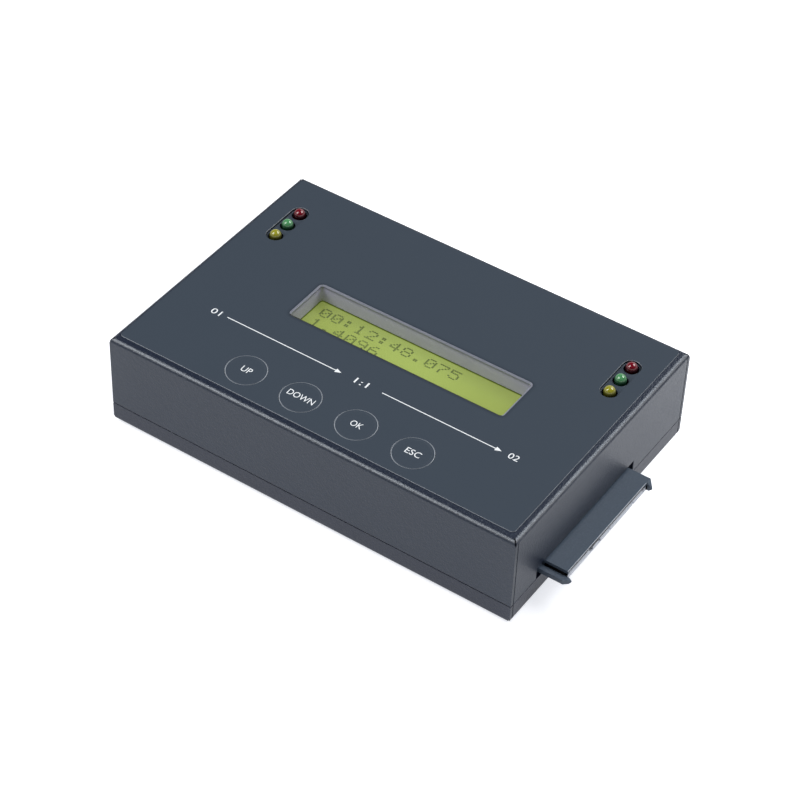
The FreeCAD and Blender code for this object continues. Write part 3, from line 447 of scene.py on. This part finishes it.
# %% Powder coat
def powder_coat(slot, colour):
    tree, shader = new_finish(slot, colour, 0.36, 0.0, IOR=1.75, Specular_Tint=(0.84, 0.92, 1.0, 1.0))
    edge, speck = surface(tree, shader, 0.42, 0.110, 0.18, 1.2, 0.5)
    # Lighter specks are grain; lighter edges are a painted highlight.
    coat_speck_and_edge_highlight = [value * 1.9 + 0.01 for value in colour]
    share = sums(tree, "ADD", sums(tree, "MULTIPLY", edge, 0.35), sums(tree, "MULTIPLY", speck, 0.3))
    join(tree, mix_colour(tree, share, colour, coat_speck_and_edge_highlight), shader.inputs["Base Color"])
    height = add(tree, "ShaderNodeSeparateXYZ", use_group(tree, millimetres)["Place"]).outputs[2]
    # Painted highlight: a pale band along the middle of the upper folds.
    below = add(tree, "ShaderNodeMapRange", height, fold_middle - 0.30, fold_middle - 0.02, 0.0, 1.0)
    above = add(tree, "ShaderNodeMapRange", height, fold_middle + 0.02, fold_middle + 0.26, 1.0, 0.0)
    lay_over(tree, shader, sums(tree, "MULTIPLY", below.outputs[0], above.outputs[0]), (0.125, 0.130, 0.145))
    # Painted shade: the walls of the lamp slots are black, and a black mirror there gives back nothing.
    slot = middle("green_leds") / MM
    inside = use_group(tree, mirrored_box, Middle=(48.4, slot.y, film_top / MM - 0.62),
                       Half_size=(2.5, 7.6, 0.34))["Inside"]
    lay_over(tree, shader, inside, (0.001, 0.001, 0.002))
    join(tree, inside, shader.inputs["Metallic"])


fold_middle = top_of("top_cover") / MM - 0.30
powder_coat("cover_powder_coat", (0.006, 0.011, 0.027))
powder_coat("tray_powder_coat", (0.004, 0.005, 0.020))
print("powder coat ready")

# %% [markdown]
# ## Printed film
# The top is a polyester film, printed on its underside in slate and stuck to the steel. Its clear
# cut edge carries a painted highlight, and the film is darker in a narrow band round the window.
# The keys are the same film, each with a moulded ring.

# %% Film and key finishes
slate = (0.046, 0.060, 0.080)
slate_dark = (0.034, 0.044, 0.060)
# Painted highlight colour for the clear cut edges of the film and of the keys.
cut_edge_highlight = (0.40, 0.43, 0.48)


def film_finish(slot, colour):
    tree, shader = new_finish(slot, colour, 0.26, 0.0, IOR=1.42)
    surface(tree, shader, 0.15, 0.0006, 0.05, 3.0, 0.5)
    around = use_group(tree, rounded_panel, Middle=tuple(window / MM), Half_size=(30.6, 7.0, 0.0),
                       Radius=1.2)["Distance"]
    halo = add(tree, "ShaderNodeMapRange", around, 0.0, 1.1, 1.0, 0.0, interpolation_type="SMOOTHSTEP")
    shaded = mix_colour(tree, sums(tree, "MULTIPLY", halo.outputs[0], 0.8), colour, slate_dark)
    # Painted highlight: faces that don't face up, and the key edges by their 'pale' value, take the cut edge
    # colour.
    upward = add(tree, "ShaderNodeSeparateXYZ", add(tree, "ShaderNodeNewGeometry").outputs["True Normal"])
    side = add(tree, "ShaderNodeMapRange", upward.outputs[2], 0.9, 0.3, 0.0, 1.0).outputs[0]
    rim = add(tree, "ShaderNodeAttribute", attribute_name="pale").outputs["Fac"]
    cut = sums(tree, "MAXIMUM", side, rim)
    join(tree, mix_colour(tree, cut, shaded, cut_edge_highlight), shader.inputs["Base Color"])


film_finish("printed_film", slate)
film_finish("key_film", slate)
print("film ready")

# %% [markdown]
# ## Display glass, window and lamps
# The display is a yellow-green reflective glass, lit from behind a little, so part of its colour
# is given off and not only reflected. Painted shade dulls it along the window's walls, with a dark
# painted shadow under the frame's edge. The window is thin clear sheet. The lamps are tinted
# epoxy with a hard gloss: clear in the dome, and dark low down as painted shade of their holes.

# %% Display glass
def display_finish():
    dull, bright, shadow = (0.285, 0.350, 0.088), (0.340, 0.428, 0.112), (0.075, 0.105, 0.020)
    tree, shader = new_finish("lcd_green_glass", bright, 0.25)
    around = use_group(tree, rounded_panel, Middle=tuple(window / MM), Half_size=(30.2, 6.6, 0.0),
                       Radius=0.8)["Distance"]
    # Painted shade: duller within 3 mm of the window's walls; the glass also turns duller towards both ends.
    wall_shade = add(tree, "ShaderNodeMapRange", around, -3.0, 0.0, 0.0, 1.0, interpolation_type="SMOOTHSTEP")
    along = add(tree, "ShaderNodeSeparateXYZ", use_group(tree, millimetres)["Place"]).outputs[0]
    aside = sums(tree, "ABSOLUTE", sums(tree, "SUBTRACT", along, window.x / MM))
    endward = add(tree, "ShaderNodeMapRange", aside, 5.0, 28.0, 0.0, 1.0)
    share = sums(tree, "ADD", sums(tree, "MULTIPLY", wall_shade.outputs[0], 0.25), endward.outputs[0],
                 clamp=True)
    # Painted shadow: a dark line where the glass runs under the frame's edge.
    rim = add(tree, "ShaderNodeMapRange", around, -0.30, 0.10, 0.0, 1.0, interpolation_type="SMOOTHSTEP")
    colour = mix_colour(tree, rim.outputs[0], mix_colour(tree, share, bright, dull), shadow)
    join(tree, colour, shader.inputs["Base Color"])
    # The glow carries the same colour, painted shade included.
    join(tree, colour, shader.inputs["Emission Color"])
    shader.inputs["Emission Strength"].default_value = 0.75


display_finish()

# %% Display cells, white print and clear window
new_finish("display_ink", (0.19, 0.25, 0.08), 0.5)
print_tree, print_shader = new_finish("print_white", (0.80, 0.83, 0.86), 0.5)
surface(print_tree, print_shader, 0.2, 0.001, 0.02)
new_finish("clear_window", (0.0, 0.0, 0.0), 0.03, 0.0, IOR=2.6, Alpha=0.15)
print("display finishes ready")


# %% Lamp epoxy
def lamp_finish(slot, deep_with_painted_shade, clear, low, high):
    """Tinted epoxy: clear colour over the dome, and a deep colour low down that is painted shade where the lamp
    sits in its hole.
    """
    tree, shader = new_finish(slot, clear, 0.10, 0.0, IOR=1.55, Coat_Weight=0.6, Coat_Roughness=0.05)
    height = add(tree, "ShaderNodeSeparateXYZ", use_group(tree, millimetres)["Place"]).outputs[2]
    # Painted shade: darker low down, towards the hole the lamp sits in.
    share = add(tree, "ShaderNodeMapRange", height, low, high, 0.0, 1.0, interpolation_type="SMOOTHSTEP")
    colour = mix_colour(tree, share.outputs[0], deep_with_painted_shade, clear)
    join(tree, colour, shader.inputs["Base Color"])


lamp_top = top_of("red_leds") / MM
dome_part = (lamp_top - 1.6, lamp_top - 0.3)
lamp_finish("yellow_lamp", (0.05, 0.05, 0.003), (0.29, 0.28, 0.025), *dome_part)
lamp_finish("green_lamp", (0.008, 0.04, 0.018), (0.075, 0.27, 0.11), *dome_part)
lamp_finish("red_lamp", (0.02, 0.001, 0.003), (0.16, 0.006, 0.014), *dome_part)
print("lamp finishes ready")

# %% [markdown]
# ## Every solid gets its finish
# The record lists a material slot for each node. The solids keep their meshes; only the material
# in their first slot changes.

# %% Finishes on the solids
slots = {part["node"]: part["material_slot"] for part in frame["record"]["subparts"]}
for node, slot in slots.items():
    solid = frame["nodes"][node]
    solid.data.materials.clear()
    solid.data.materials.append(finish[slot])
print("finished", len(slots), "solids")

# %% [markdown]
# ## Softened copies of the solids that show
# Folded steel, moulded plastic and cut film have small round edges that catch the light. A copy
# of the solid is welded, its flat faces are joined, and a Bevel modifier rounds what is left
# sharp. Weighted normals keep the big faces flat while the folds stay smooth.

# %% Softened copies
def to_piece(obj, body, slot):
    """Puts an object in the scene as a finished piece that rides on a body."""
    obj.data.materials.clear()
    obj.data.materials.append(finish[slot])
    scene.collection.objects.link(obj)
    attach(obj, body)
    return obj


def applied(obj):
    """The object's mesh with its modifiers carried out."""
    scene.collection.objects.link(obj)
    graph = bpy.context.evaluated_depsgraph_get()
    mesh = bpy.data.meshes.new_from_object(obj.evaluated_get(graph))
    mesh.name = obj.name
    scene.collection.objects.unlink(obj)
    return mesh


def rounded(name, mesh, radius, segments=2, sharp=30):
    """An object with the mesh's sharp edges rounded and its large faces kept flat."""
    mesh.shade_smooth()
    copy = bpy.data.objects.new(name + "_sharp", mesh)
    bevel = copy.modifiers.new("round", "BEVEL")
    bevel.width = radius * MM
    bevel.segments = segments
    bevel.limit_method = "ANGLE"
    bevel.angle_limit = math.radians(sharp)
    even = copy.modifiers.new("even", "WEIGHTED_NORMAL")
    even.keep_sharp = True
    made = bpy.data.objects.new(name, applied(copy))
    bpy.data.objects.remove(copy)
    return made


def body_of(node):
    return frame["nodes"][node]["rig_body"]


def stands_for(made, node):
    """Makes an object the finished look of a solid, on the same body."""
    to_piece(made, body_of(node), slots[node])
    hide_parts(node)
    return made


def welded_copy(node):
    """The solid's mesh with its flat faces joined."""
    welded = bmesh.new()
    welded.from_mesh(frame["nodes"][node].data)
    bmesh.ops.remove_doubles(welded, verts=welded.verts, dist=0.002 * MM)
    bmesh.ops.dissolve_limit(welded, angle_limit=math.radians(0.5), verts=welded.verts,
                             edges=welded.edges)
    mesh = bpy.data.meshes.new(node + "_welded")
    welded.to_mesh(mesh)
    welded.free()
    return mesh


def softened(node, radius):
    return stands_for(rounded(node + "_soft", welded_copy(node), radius), node)


soft_edges = {"bottom_tray": 0.12, "panel_overlay": 0.05, "display_frame": 0.08,
              "target_port_housing": 0.06, "source_port_housing": 0.06, "dc_jack": 0.15,
              "rocker_housing": 0.2, "power_rocker": 0.25, "rubber_feet": 0.15, "serial_shell": 0.1}
for node, radius in soft_edges.items():
    made = softened(node, radius)
    print("softened", node, len(made.data.polygons), "faces")

# %% [markdown]
# ## Turned shapes and thin plates
# Two more helpers. One turns a profile about an upright axis. The other makes a thin closed
# plate from outlines in the plan: an outline inside another one becomes a hole.

# %% Turning and plates
def turned_mesh(name, profile, steps=64):
    """Turns a (radius, height) profile in mm about Z, from its lower pole to its upper one."""
    body = bmesh.new()
    rings = []
    for radius, height in profile:
        if radius == 0:
            rings.append([body.verts.new(mm(0, 0, height))] * steps)
            continue
        angles = [2 * math.pi * step / steps for step in range(steps)]
        rings.append([body.verts.new(mm(radius * math.cos(a), radius * math.sin(a), height)) for a in angles])
    for low, high in zip(rings, rings[1:]):
        for step in range(steps):
            after = (step + 1) % steps
            corners = (low[step], low[after], high[after], high[step])
            body.faces.new(list(dict.fromkeys(corners)))
    mesh = bpy.data.meshes.new(name)
    body.to_mesh(mesh)
    body.free()
    return mesh


def moved_mesh(mesh, place):
    mesh.transform(place if isinstance(place, Matrix) else Matrix.Translation(place))
    return mesh


def joined(name, meshes):
    whole = bmesh.new()
    for mesh in meshes:
        whole.from_mesh(mesh)
    mesh = bpy.data.meshes.new(name)
    whole.to_mesh(mesh)
    whole.free()
    return mesh


def curve_mesh(name, curve, low, high):
    """A flat filled curve as a closed plate between two heights, in metres."""
    curve.extrude = (high - low) / 2
    holder = bpy.data.objects.new(name + "_curve", curve)
    mesh = applied(holder)
    bpy.data.objects.remove(holder)
    closed = bmesh.new()
    closed.from_mesh(mesh)
    bmesh.ops.remove_doubles(closed, verts=closed.verts, dist=0.0002 * MM)
    bmesh.ops.recalc_face_normals(closed, faces=closed.faces)
    closed.to_mesh(mesh)
    closed.free()
    return moved_mesh(mesh, Vector((0, 0, (low + high) / 2)))


def plate(name, outlines, low, high):
    """A thin plate; outlines are lists of (x, y) in mm, low and high are in metres."""
    curve = bpy.data.curves.new(name, "CURVE")
    curve.dimensions = "2D"
    curve.fill_mode = "BOTH"
    for outline in outlines:
        spline = curve.splines.new("POLY")
        spline.points.add(len(outline) - 1)
        for point, (x, y) in zip(spline.points, outline):
            point.co = (x * MM, y * MM, 0, 1)
        spline.use_cyclic_u = True
    return curve_mesh(name, curve, low, high)


def lettering(name, words, cap_height, width, low, high):
    """Lettering in the plan about the origin, fitted to a height and a width in mm."""
    curve = bpy.data.curves.new(name, "FONT")
    curve.body = words
    curve.size = 1.0
    curve.resolution_u = 4
    mesh = curve_mesh(name, curve, 0.0, 1.0)
    corners = [vertex.co for vertex in mesh.vertices]
    lows = [min(corner[axis] for corner in corners) for axis in range(3)]
    spans = [max(corner[axis] for corner in corners) - lows[axis] for axis in range(3)]
    centre = Matrix.Translation([-lows[0] - spans[0] / 2, -lows[1] - spans[1] / 2, -lows[2]])
    fitted = Matrix.Diagonal((width * MM / spans[0], cap_height * MM / spans[1],
                              (high - low) / spans[2], 1))
    return moved_mesh(mesh, Matrix.Translation((0, 0, low)) @ fitted @ centre)


def round_outline(x, y, radius, steps=40):
    return [(x + radius * math.cos(2 * math.pi * k / steps), y + radius * math.sin(2 * math.pi * k / steps))
            for k in range(steps)]


def slot_outline(x, y, length, width, steps=24):
    """An outline with straight sides along Y and round ends."""
    reach, radius = (length - width) / 2, width / 2
    upper = [(x + radius * math.cos(math.pi * k / steps), y + reach + radius * math.sin(math.pi * k / steps))
             for k in range(steps + 1)]
    return upper + [(2 * x - px, 2 * y - py) for px, py in upper]


def panel_outline(x, y, length, width, radius, steps=8):
    """A rectangle with round corners."""
    points = []
    for corner, (side_x, side_y) in enumerate(((1, 1), (-1, 1), (-1, -1), (1, -1))):
        at_x, at_y = x + side_x * (length / 2 - radius), y + side_y * (width / 2 - radius)
        turns = [math.pi / 2 * (corner + step / steps) for step in range(steps + 1)]
        points += [(at_x + radius * math.cos(turn), at_y + radius * math.sin(turn)) for turn in turns]
    return points


print("shape helpers ready")

# %% [markdown]
# ## Window rim and lens
# The moulded frame stands up inside the opening as a thin rim, with the clear lens in it. Its
# inner edge is broken by a small step, and a bright line is painted along it as a highlight.

# %% Window rim and lens
lens_low, lens_high = [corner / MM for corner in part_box("display_lens")]
opening_length, opening_width = 61.2, 14.0
rim_gap, rim_wall, rim_corner = 0.03, 0.40, 1.17
rim_top = film_top / MM - 0.06
centre = window / MM


def opening_outline(inset):
    return panel_outline(centre.x, centre.y, opening_length - 2 * inset, opening_width - 2 * inset,
                         rim_corner - inset + rim_gap)


rim_steps = [("rim_base", rim_gap, rim_wall, lens_low.z, rim_top - 0.14),
             ("rim_edge", rim_gap, rim_wall - 0.10, rim_top - 0.14, rim_top)]
rims = [plate(name, [opening_outline(outer), opening_outline(inner)], low * MM, high * MM)
        for name, outer, inner, low, high in rim_steps]
rim = rounded("window_rim", joined("window_rim", rims), 0.03)
to_piece(rim, body_of("display_frame"), "frame_plastic")
lens_plate = plate("lens", [opening_outline(rim_wall + 0.02)], lens_low.z * MM, lens_high.z * MM)
stands_for(bpy.data.objects.new("window_lens", lens_plate), "display_lens")
print("window rim", len(rim.data.polygons), "faces")

# %% [markdown]
# ## Keys
# Each key is a disc of the film with a low moulded ring. Its cut edge carries a painted highlight,
# strongest on the left and right where it faces the light, so the disc carries that as a value on its points.
# The legend is a thin layer of white print.

# %% Key discs and legends
film_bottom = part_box("panel_overlay")[0].z / MM
print_layer = (film_top - 0.004 * MM, film_top + 0.012 * MM)
cap_height = 1.85
light_heading = math.radians(33)
legend_widths = {"up": 2.75, "down": 7.3, "ok": 3.1, "esc": 4.0}


def key_disc(name):
    low, high = [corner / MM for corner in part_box("key_" + name)]
    radius = (high.x - low.x) / 2
    foot = 2.1
    ridge = radius - 0.75
    top = film_top / MM
    profile = [(0, low.z), (foot, low.z), (foot, film_bottom), (radius, film_bottom), (radius, top),
               (radius - 0.08, top + 0.03), (radius - 0.18, top), (ridge + 0.12, top), (ridge, top + 0.035),
               (ridge - 0.12, top), (0, top)]
    mesh = turned_mesh("key_disc_" + name, profile, 72)
    # The 'pale' value is a painted highlight on the cut edge, strongest towards the light.
    pale = mesh.attributes.new("pale", "FLOAT", "POINT")
    for vertex in mesh.vertices:
        place = vertex.co / MM
        reach = math.hypot(place.x, place.y)
        share = 0.0
        if reach > radius - 0.12:
            share = 0.08 + 0.92 * math.cos(math.atan2(place.y, place.x) - light_heading) ** 4
        pale.data[vertex.index].value = share
    centre = (low + high) / 2
    moved_mesh(mesh, mm(centre.x, centre.y, 0))
    return stands_for(rounded("key_disc_" + name, mesh, 0.03), "key_" + name)


for name in key_names:
    disc = key_disc(name)
    legend = lettering("legend_" + name, name.upper(), cap_height, legend_widths[name], *print_layer)
    moved_mesh(legend, Vector((key_middles[name].x, key_middles[name].y + 0.15 * MM, 0)))
    to_piece(bpy.data.objects.new("legend_" + name, legend), body_of("key_" + name), "print_white")
    print("key", name, len(disc.data.polygons), "faces, legend", len(legend.polygons))

# %% [markdown]
# ## Printed flow line
# Two thin lines with arrowheads run from the left port to the right one. Plain numbers stand at
# their ends and between them.

# %% Flow line
line_y = -19.3
line_width = 0.25
arrow_length, arrow_width = 1.6, 1.35


def flow_line(start, tip):
    """Outlines of a line that ends in a solid arrowhead."""
    neck = tip - arrow_length
    half, wing = line_width / 2, arrow_width / 2
    return [[(start, line_y - half), (neck, line_y - half), (neck, line_y - wing), (tip, line_y),
             (neck, line_y + wing), (neck, line_y + half), (start, line_y + half)]]


marks = [plate("flow_line", flow_line(start, tip), *print_layer) for start, tip in ((-39.0, -5.6), (6.0, 39.0))]
for words, x, width in (("01", -42.3, 2.7), ("1:1", 0.2, 3.6), ("02", 42.3, 2.7)):
    mark = lettering("mark_" + words.replace(":", "_"), words, cap_height, width, *print_layer)
    marks.append(moved_mesh(mark, mm(x, line_y, 0)))
flow = joined("flow_print", marks)
to_piece(bpy.data.objects.new("flow_print", flow), body_of("panel_overlay"), "print_white")
print("flow print", len(flow.polygons), "faces")

# %% [markdown]
# ## Display cells
# The display has two rows of characters, each five dots wide and seven high. The lit dots are
# points, and a geometry tree stands a thin cell on each of them. The size of a cell is an input
# of the tree.

# %% Tree: cells on points
def new_tree(name, inputs):
    """A geometry tree with a Geometry input and output and further named inputs."""
    tree = bpy.data.node_groups.new(name, "GeometryNodeTree")
    tree.interface.new_socket("Geometry", in_out="INPUT", socket_type="NodeSocketGeometry")
    for socket, (kind, value) in inputs.items():
        made = tree.interface.new_socket(socket, in_out="INPUT", socket_type="NodeSocket" + kind)
        if value is not None:
            made.default_value = value
    tree.interface.new_socket("Geometry", in_out="OUTPUT", socket_type="NodeSocketGeometry")
    return tree, tree.nodes.new("NodeGroupInput").outputs, tree.nodes.new("NodeGroupOutput").inputs


def finish_tree(tree, given, out, instances):
    """Realize Instances and Set Material at the end of a tree."""
    real = add(tree, "GeometryNodeRealizeInstances", instances).outputs[0]
    painted = add(tree, "GeometryNodeSetMaterial", real)
    join(tree, given["Material"], painted.inputs["Material"])
    join(tree, painted.outputs[0], out["Geometry"])
    return tree


def grow(name, points, tree, slot, **values):
    """Runs a geometry tree on a set of points and keeps the result as a plain mesh."""
    seed = bpy.data.meshes.new(name + "_points")
    seed.from_pydata(points, [], [])
    holder = bpy.data.objects.new(name + "_points", seed)
    made_by = holder.modifiers.new("grow", "NODES")
    made_by.node_group = tree
    values["Material"] = finish[slot]
    for item in tree.interface.items_tree:
        key = item.name.replace(" ", "_")
        if item.in_out == "INPUT" and key in values:
            made_by[item.identifier] = values[key]
    mesh = applied(holder)
    bpy.data.objects.remove(holder)
    mesh.name = name
    return mesh


def cells_tree():
    tree, given, out = new_tree("cells", {"Cell size": ("Vector", None), "Material": ("Material", None)})
    cell = add(tree, "GeometryNodeMeshCube", given["Cell size"]).outputs[0]
    placed = add(tree, "GeometryNodeInstanceOnPoints", given["Geometry"])
    join(tree, cell, placed.inputs["Instance"])
    return finish_tree(tree, given, out, placed.outputs[0])


cells = cells_tree()

# %% Characters on the display
dots = {
    "0": "01110 10001 10011 10101 11001 10001 01110", "1": "00100 01100 00100 00100 00100 00100 01110",
    "2": "01110 10001 00001 00010 00100 01000 11111", "4": "00010 00110 01010 10010 11111 00010 00010",
    "5": "11111 10000 11110 00001 00001 10001 01110", "6": "00110 01000 10000 11110 10001 10001 01110",
    "7": "11111 00001 00010 00100 01000 01000 01000", "8": "01110 10001 10001 01110 10001 10001 01110",
    "9": "01110 10001 10001 01111 00001 00010 01100", ":": "00000 01100 01100 00000 01100 01100 00000",
    ".": "00000 00000 00000 00000 00000 01100 01100"}
rows = (("00:12:48.075", 3.45), ("1.4096", -0.77))
first_character, character_pitch = -24.2, 3.41
dot_pitch = (0.56, 0.46)
cell_size = (0.46, 0.37, 0.02)
row_shift = -2.95

lit = []
for words, row_y in rows:
    for place, character in enumerate(words):
        centre = first_character + place * character_pitch
        for line, pattern in enumerate(dots[character].split()):
            for column, state in enumerate(pattern):
                if state == "1":
                    lit.append(mm(centre + (column - 2) * dot_pitch[0],
                                  row_y + row_shift + (3 - line) * dot_pitch[1], glass_top / MM + 0.006))
ink = grow("display_ink", lit, cells, "display_ink", Cell_size=mm(*cell_size))
to_piece(bpy.data.objects.new("display_ink", ink), body_of("lcd_glass"), "display_ink")
print("display cells", len(lit))

# %% [markdown]
# ## Lamps
# A lamp is turned as one smooth shape: collar, barrel and dome.

# %% Lamps
lamp_colours = ("yellow", "green", "red")
lamp_places = {}


def lamp_piece(colour):
    low, high = [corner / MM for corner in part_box(colour + "_leds")]
    collar = (high.y - low.y) / 2
    radius, collar_top, steps = 1.5, low.z + 1.0, 14
    crown = high.z - radius
    turns = [math.pi / 2 * k / steps for k in range(1, steps)]
    profile = [(0, low.z), (collar, low.z), (collar, collar_top), (radius, collar_top), (radius, crown)]
    profile += [(radius * math.cos(turn), crown + radius * math.sin(turn)) for turn in turns]
    profile += [(0, high.z)]
    y = (low.y + high.y) / 2
    lamp_places[colour] = [(low.x + collar, y), (high.x - collar, y)]
    lamps = [moved_mesh(turned_mesh(colour + "_lamp", profile, 48), mm(x, y, 0))
             for x, y in lamp_places[colour]]
    return stands_for(rounded(colour + "_lamp", joined(colour + "_lamps", lamps), 0.05), colour + "_leds")


for colour in lamp_colours:
    lamp_piece(colour)
print("lamps at", lamp_places)

# %% [markdown]
# ## Slots round the lamps
# The cover is pressed in a little along each row of lamps. The bottom of that slot is lined with
# the same film, with a hole for each lamp.

# %% Pressed slots of the cover
slot_length, slot_width, slot_depth = 14.9, 4.72, 0.45


def slot_block(side):
    """The space that a slot takes out of the cover."""
    x, y = lamp_places["green"][side]
    return plate("slot_space", [slot_outline(x, y, slot_length, slot_width)],
                 (film_bottom - slot_depth) * MM, film_top)


def cover_with_slots():
    cover = bpy.data.objects.new("cover_plain", welded_copy("top_cover"))
    cutter = bpy.data.objects.new("slot_cutter", joined("slot_cutter", [slot_block(0), slot_block(1)]))
    scene.collection.objects.link(cutter)
    cut = cover.modifiers.new("slots", "BOOLEAN")
    cut.operation, cut.solver, cut.object = "DIFFERENCE", "EXACT", cutter
    mesh = applied(cover)
    for used in (cover, cutter):
        bpy.data.objects.remove(used)
    return stands_for(rounded("top_cover_soft", mesh, 0.12), "top_cover")


cover = cover_with_slots()
print("cover", len(cover.data.polygons), "faces")

# %% Liners of the slots
lamp_hole = 1.95
liner_edge = 0.06
liner_layer = ((film_bottom - slot_depth) * MM, (film_bottom - slot_depth + 0.05) * MM)
liners = []
for side in (0, 1):
    slot_x, slot_y = lamp_places["green"][side]
    loops = [slot_outline(slot_x, slot_y, slot_length - liner_edge, slot_width - liner_edge)]
    loops += [round_outline(*lamp_places[colour][side], lamp_hole) for colour in lamp_colours]
    liners.append(plate("slot_liner", loops, *liner_layer))
liner = joined("slot_liner", liners)
to_piece(bpy.data.objects.new("slot_liner", liner), body_of("top_cover"), "printed_film")
print("slot liner", len(liner.polygons), "faces")

# %% [markdown]
# ## Floor and light
# The object stands on a pale floor that runs out of sight. The floor keeps the object's shadow,
# and for the camera and for gloss it also gives off white, so that it reads as plain paper. That
# glow rises towards the rear right as a painted pool of light, which the walls show in their gloss.
# Two soft boxes stand high on the left and the right, and the room adds an even light.

# %% Floor
def pale_floor():
    material = bpy.data.materials.new("pale_floor")
    material.use_nodes = True
    tree = material.node_tree
    tree.nodes.remove(tree.nodes["Principled BSDF"])
    paper = add(tree, "ShaderNodeBsdfDiffuse", (0.62, 0.62, 0.63, 1.0)).outputs[0]
    place = add(tree, "ShaderNodeTexCoord").outputs["Object"]
    # Painted pool of light: the floor's glow rises towards the rear right, and the walls show it in their
    # gloss.
    away = vectors(tree, "DOT_PRODUCT", place, (0.55, 0.83, 0.0))
    pool_of_light = add(tree, "ShaderNodeMapRange", away, 0.0, 0.09, 0.66, 1.20).outputs[0]
    glow = add(tree, "ShaderNodeEmission", (0.96, 0.98, 1.03, 1.0), pool_of_light).outputs[0]
    ray = add(tree, "ShaderNodeLightPath").outputs
    seen = sums(tree, "ADD", sums(tree, "ADD", ray["Is Camera Ray"], ray["Is Glossy Ray"]),
                ray["Is Transmission Ray"], clamp=True)
    # The far floor stays dark for gloss, which leaves a dark line below each fold.
    off = add(tree, "ShaderNodeEmission", (0.0, 0.0, 0.0, 1.0), 0.0).outputs[0]
    white = add(tree, "ShaderNodeMixShader", seen, off, glow).outputs[0]
    both = add(tree, "ShaderNodeAddShader", paper, white).outputs[0]
    around = use_group(tree, rounded_panel, Half_size=(57.0, 39.0, 0.0), Radius=1.0)["Distance"]
    far = add(tree, "ShaderNodeMapRange", around, 60.0, 100.0, 0.30, 1.0).outputs[0]
    flagged = add(tree, "ShaderNodeMixShader", sums(tree, "MULTIPLY", far, ray["Is Glossy Ray"]), both, off)
    join(tree, flagged.outputs[0], tree.nodes["Material Output"].inputs["Surface"])
    half = 6.0
    mesh = bpy.data.meshes.new("floor")
    mesh.from_pydata([(-half, -half, 0), (half, -half, 0), (half, half, 0), (-half, half, 0)], [],
                     [(0, 1, 2, 3)])
    mesh.materials.append(material)
    floor = bpy.data.objects.new("floor", mesh)
    scene.collection.objects.link(floor)


pale_floor()
print("floor laid")


# %% Room light and lamps
def room():
    world = bpy.data.worlds.new("studio")
    scene.world = world
    world.use_nodes = True
    tree = world.node_tree
    background = tree.nodes["Background"]
    ray = add(tree, "ShaderNodeLightPath").outputs
    seen = sums(tree, "ADD", sums(tree, "ADD", ray["Is Camera Ray"], ray["Is Glossy Ray"]),
                ray["Is Transmission Ray"], clamp=True)
    heading = add(tree, "ShaderNodeSeparateXYZ", add(tree, "ShaderNodeTexCoord").outputs["Generated"])
    low_light = add(tree, "ShaderNodeMapRange", heading.outputs[2], 0.0, 0.5, 1.0, 0.0,
                    interpolation_type="SMOOTHSTEP").outputs[0]
    rear_light = add(tree, "ShaderNodeMapRange", heading.outputs[1], 0.72, 0.90, 0.0, 1.0).outputs[0]
    shade = sums(tree, "MAXIMUM", low_light, rear_light)
    strength = add(tree, "ShaderNodeMapRange", seen, 0.0, 1.0, 0.38, shade).outputs[0]
    join(tree, strength, background.inputs["Strength"])
    background.inputs["Color"].default_value = (1.0, 1.0, 1.0, 1.0)


def soft_box(name, direction, distance, size, power):
    light = bpy.data.lights.new(name, "AREA")
    light.shape = "RECTANGLE"
    light.size, light.size_y = size
    light.energy = power
    lamp = bpy.data.objects.new(name, light)
    lamp.location = Vector(direction).normalized() * distance
    lamp.rotation_euler = lamp.location.to_track_quat("Z", "Y").to_euler()
    scene.collection.objects.link(lamp)


room()
soft_box("left_box", direction=(-0.46, -0.44, 0.77), distance=0.9, size=(0.40, 0.62), power=4.9)
soft_box("right_box", direction=(0.36, 0.55, 0.75), distance=0.9, size=(0.60, 0.40), power=4.8)
print("room lit")
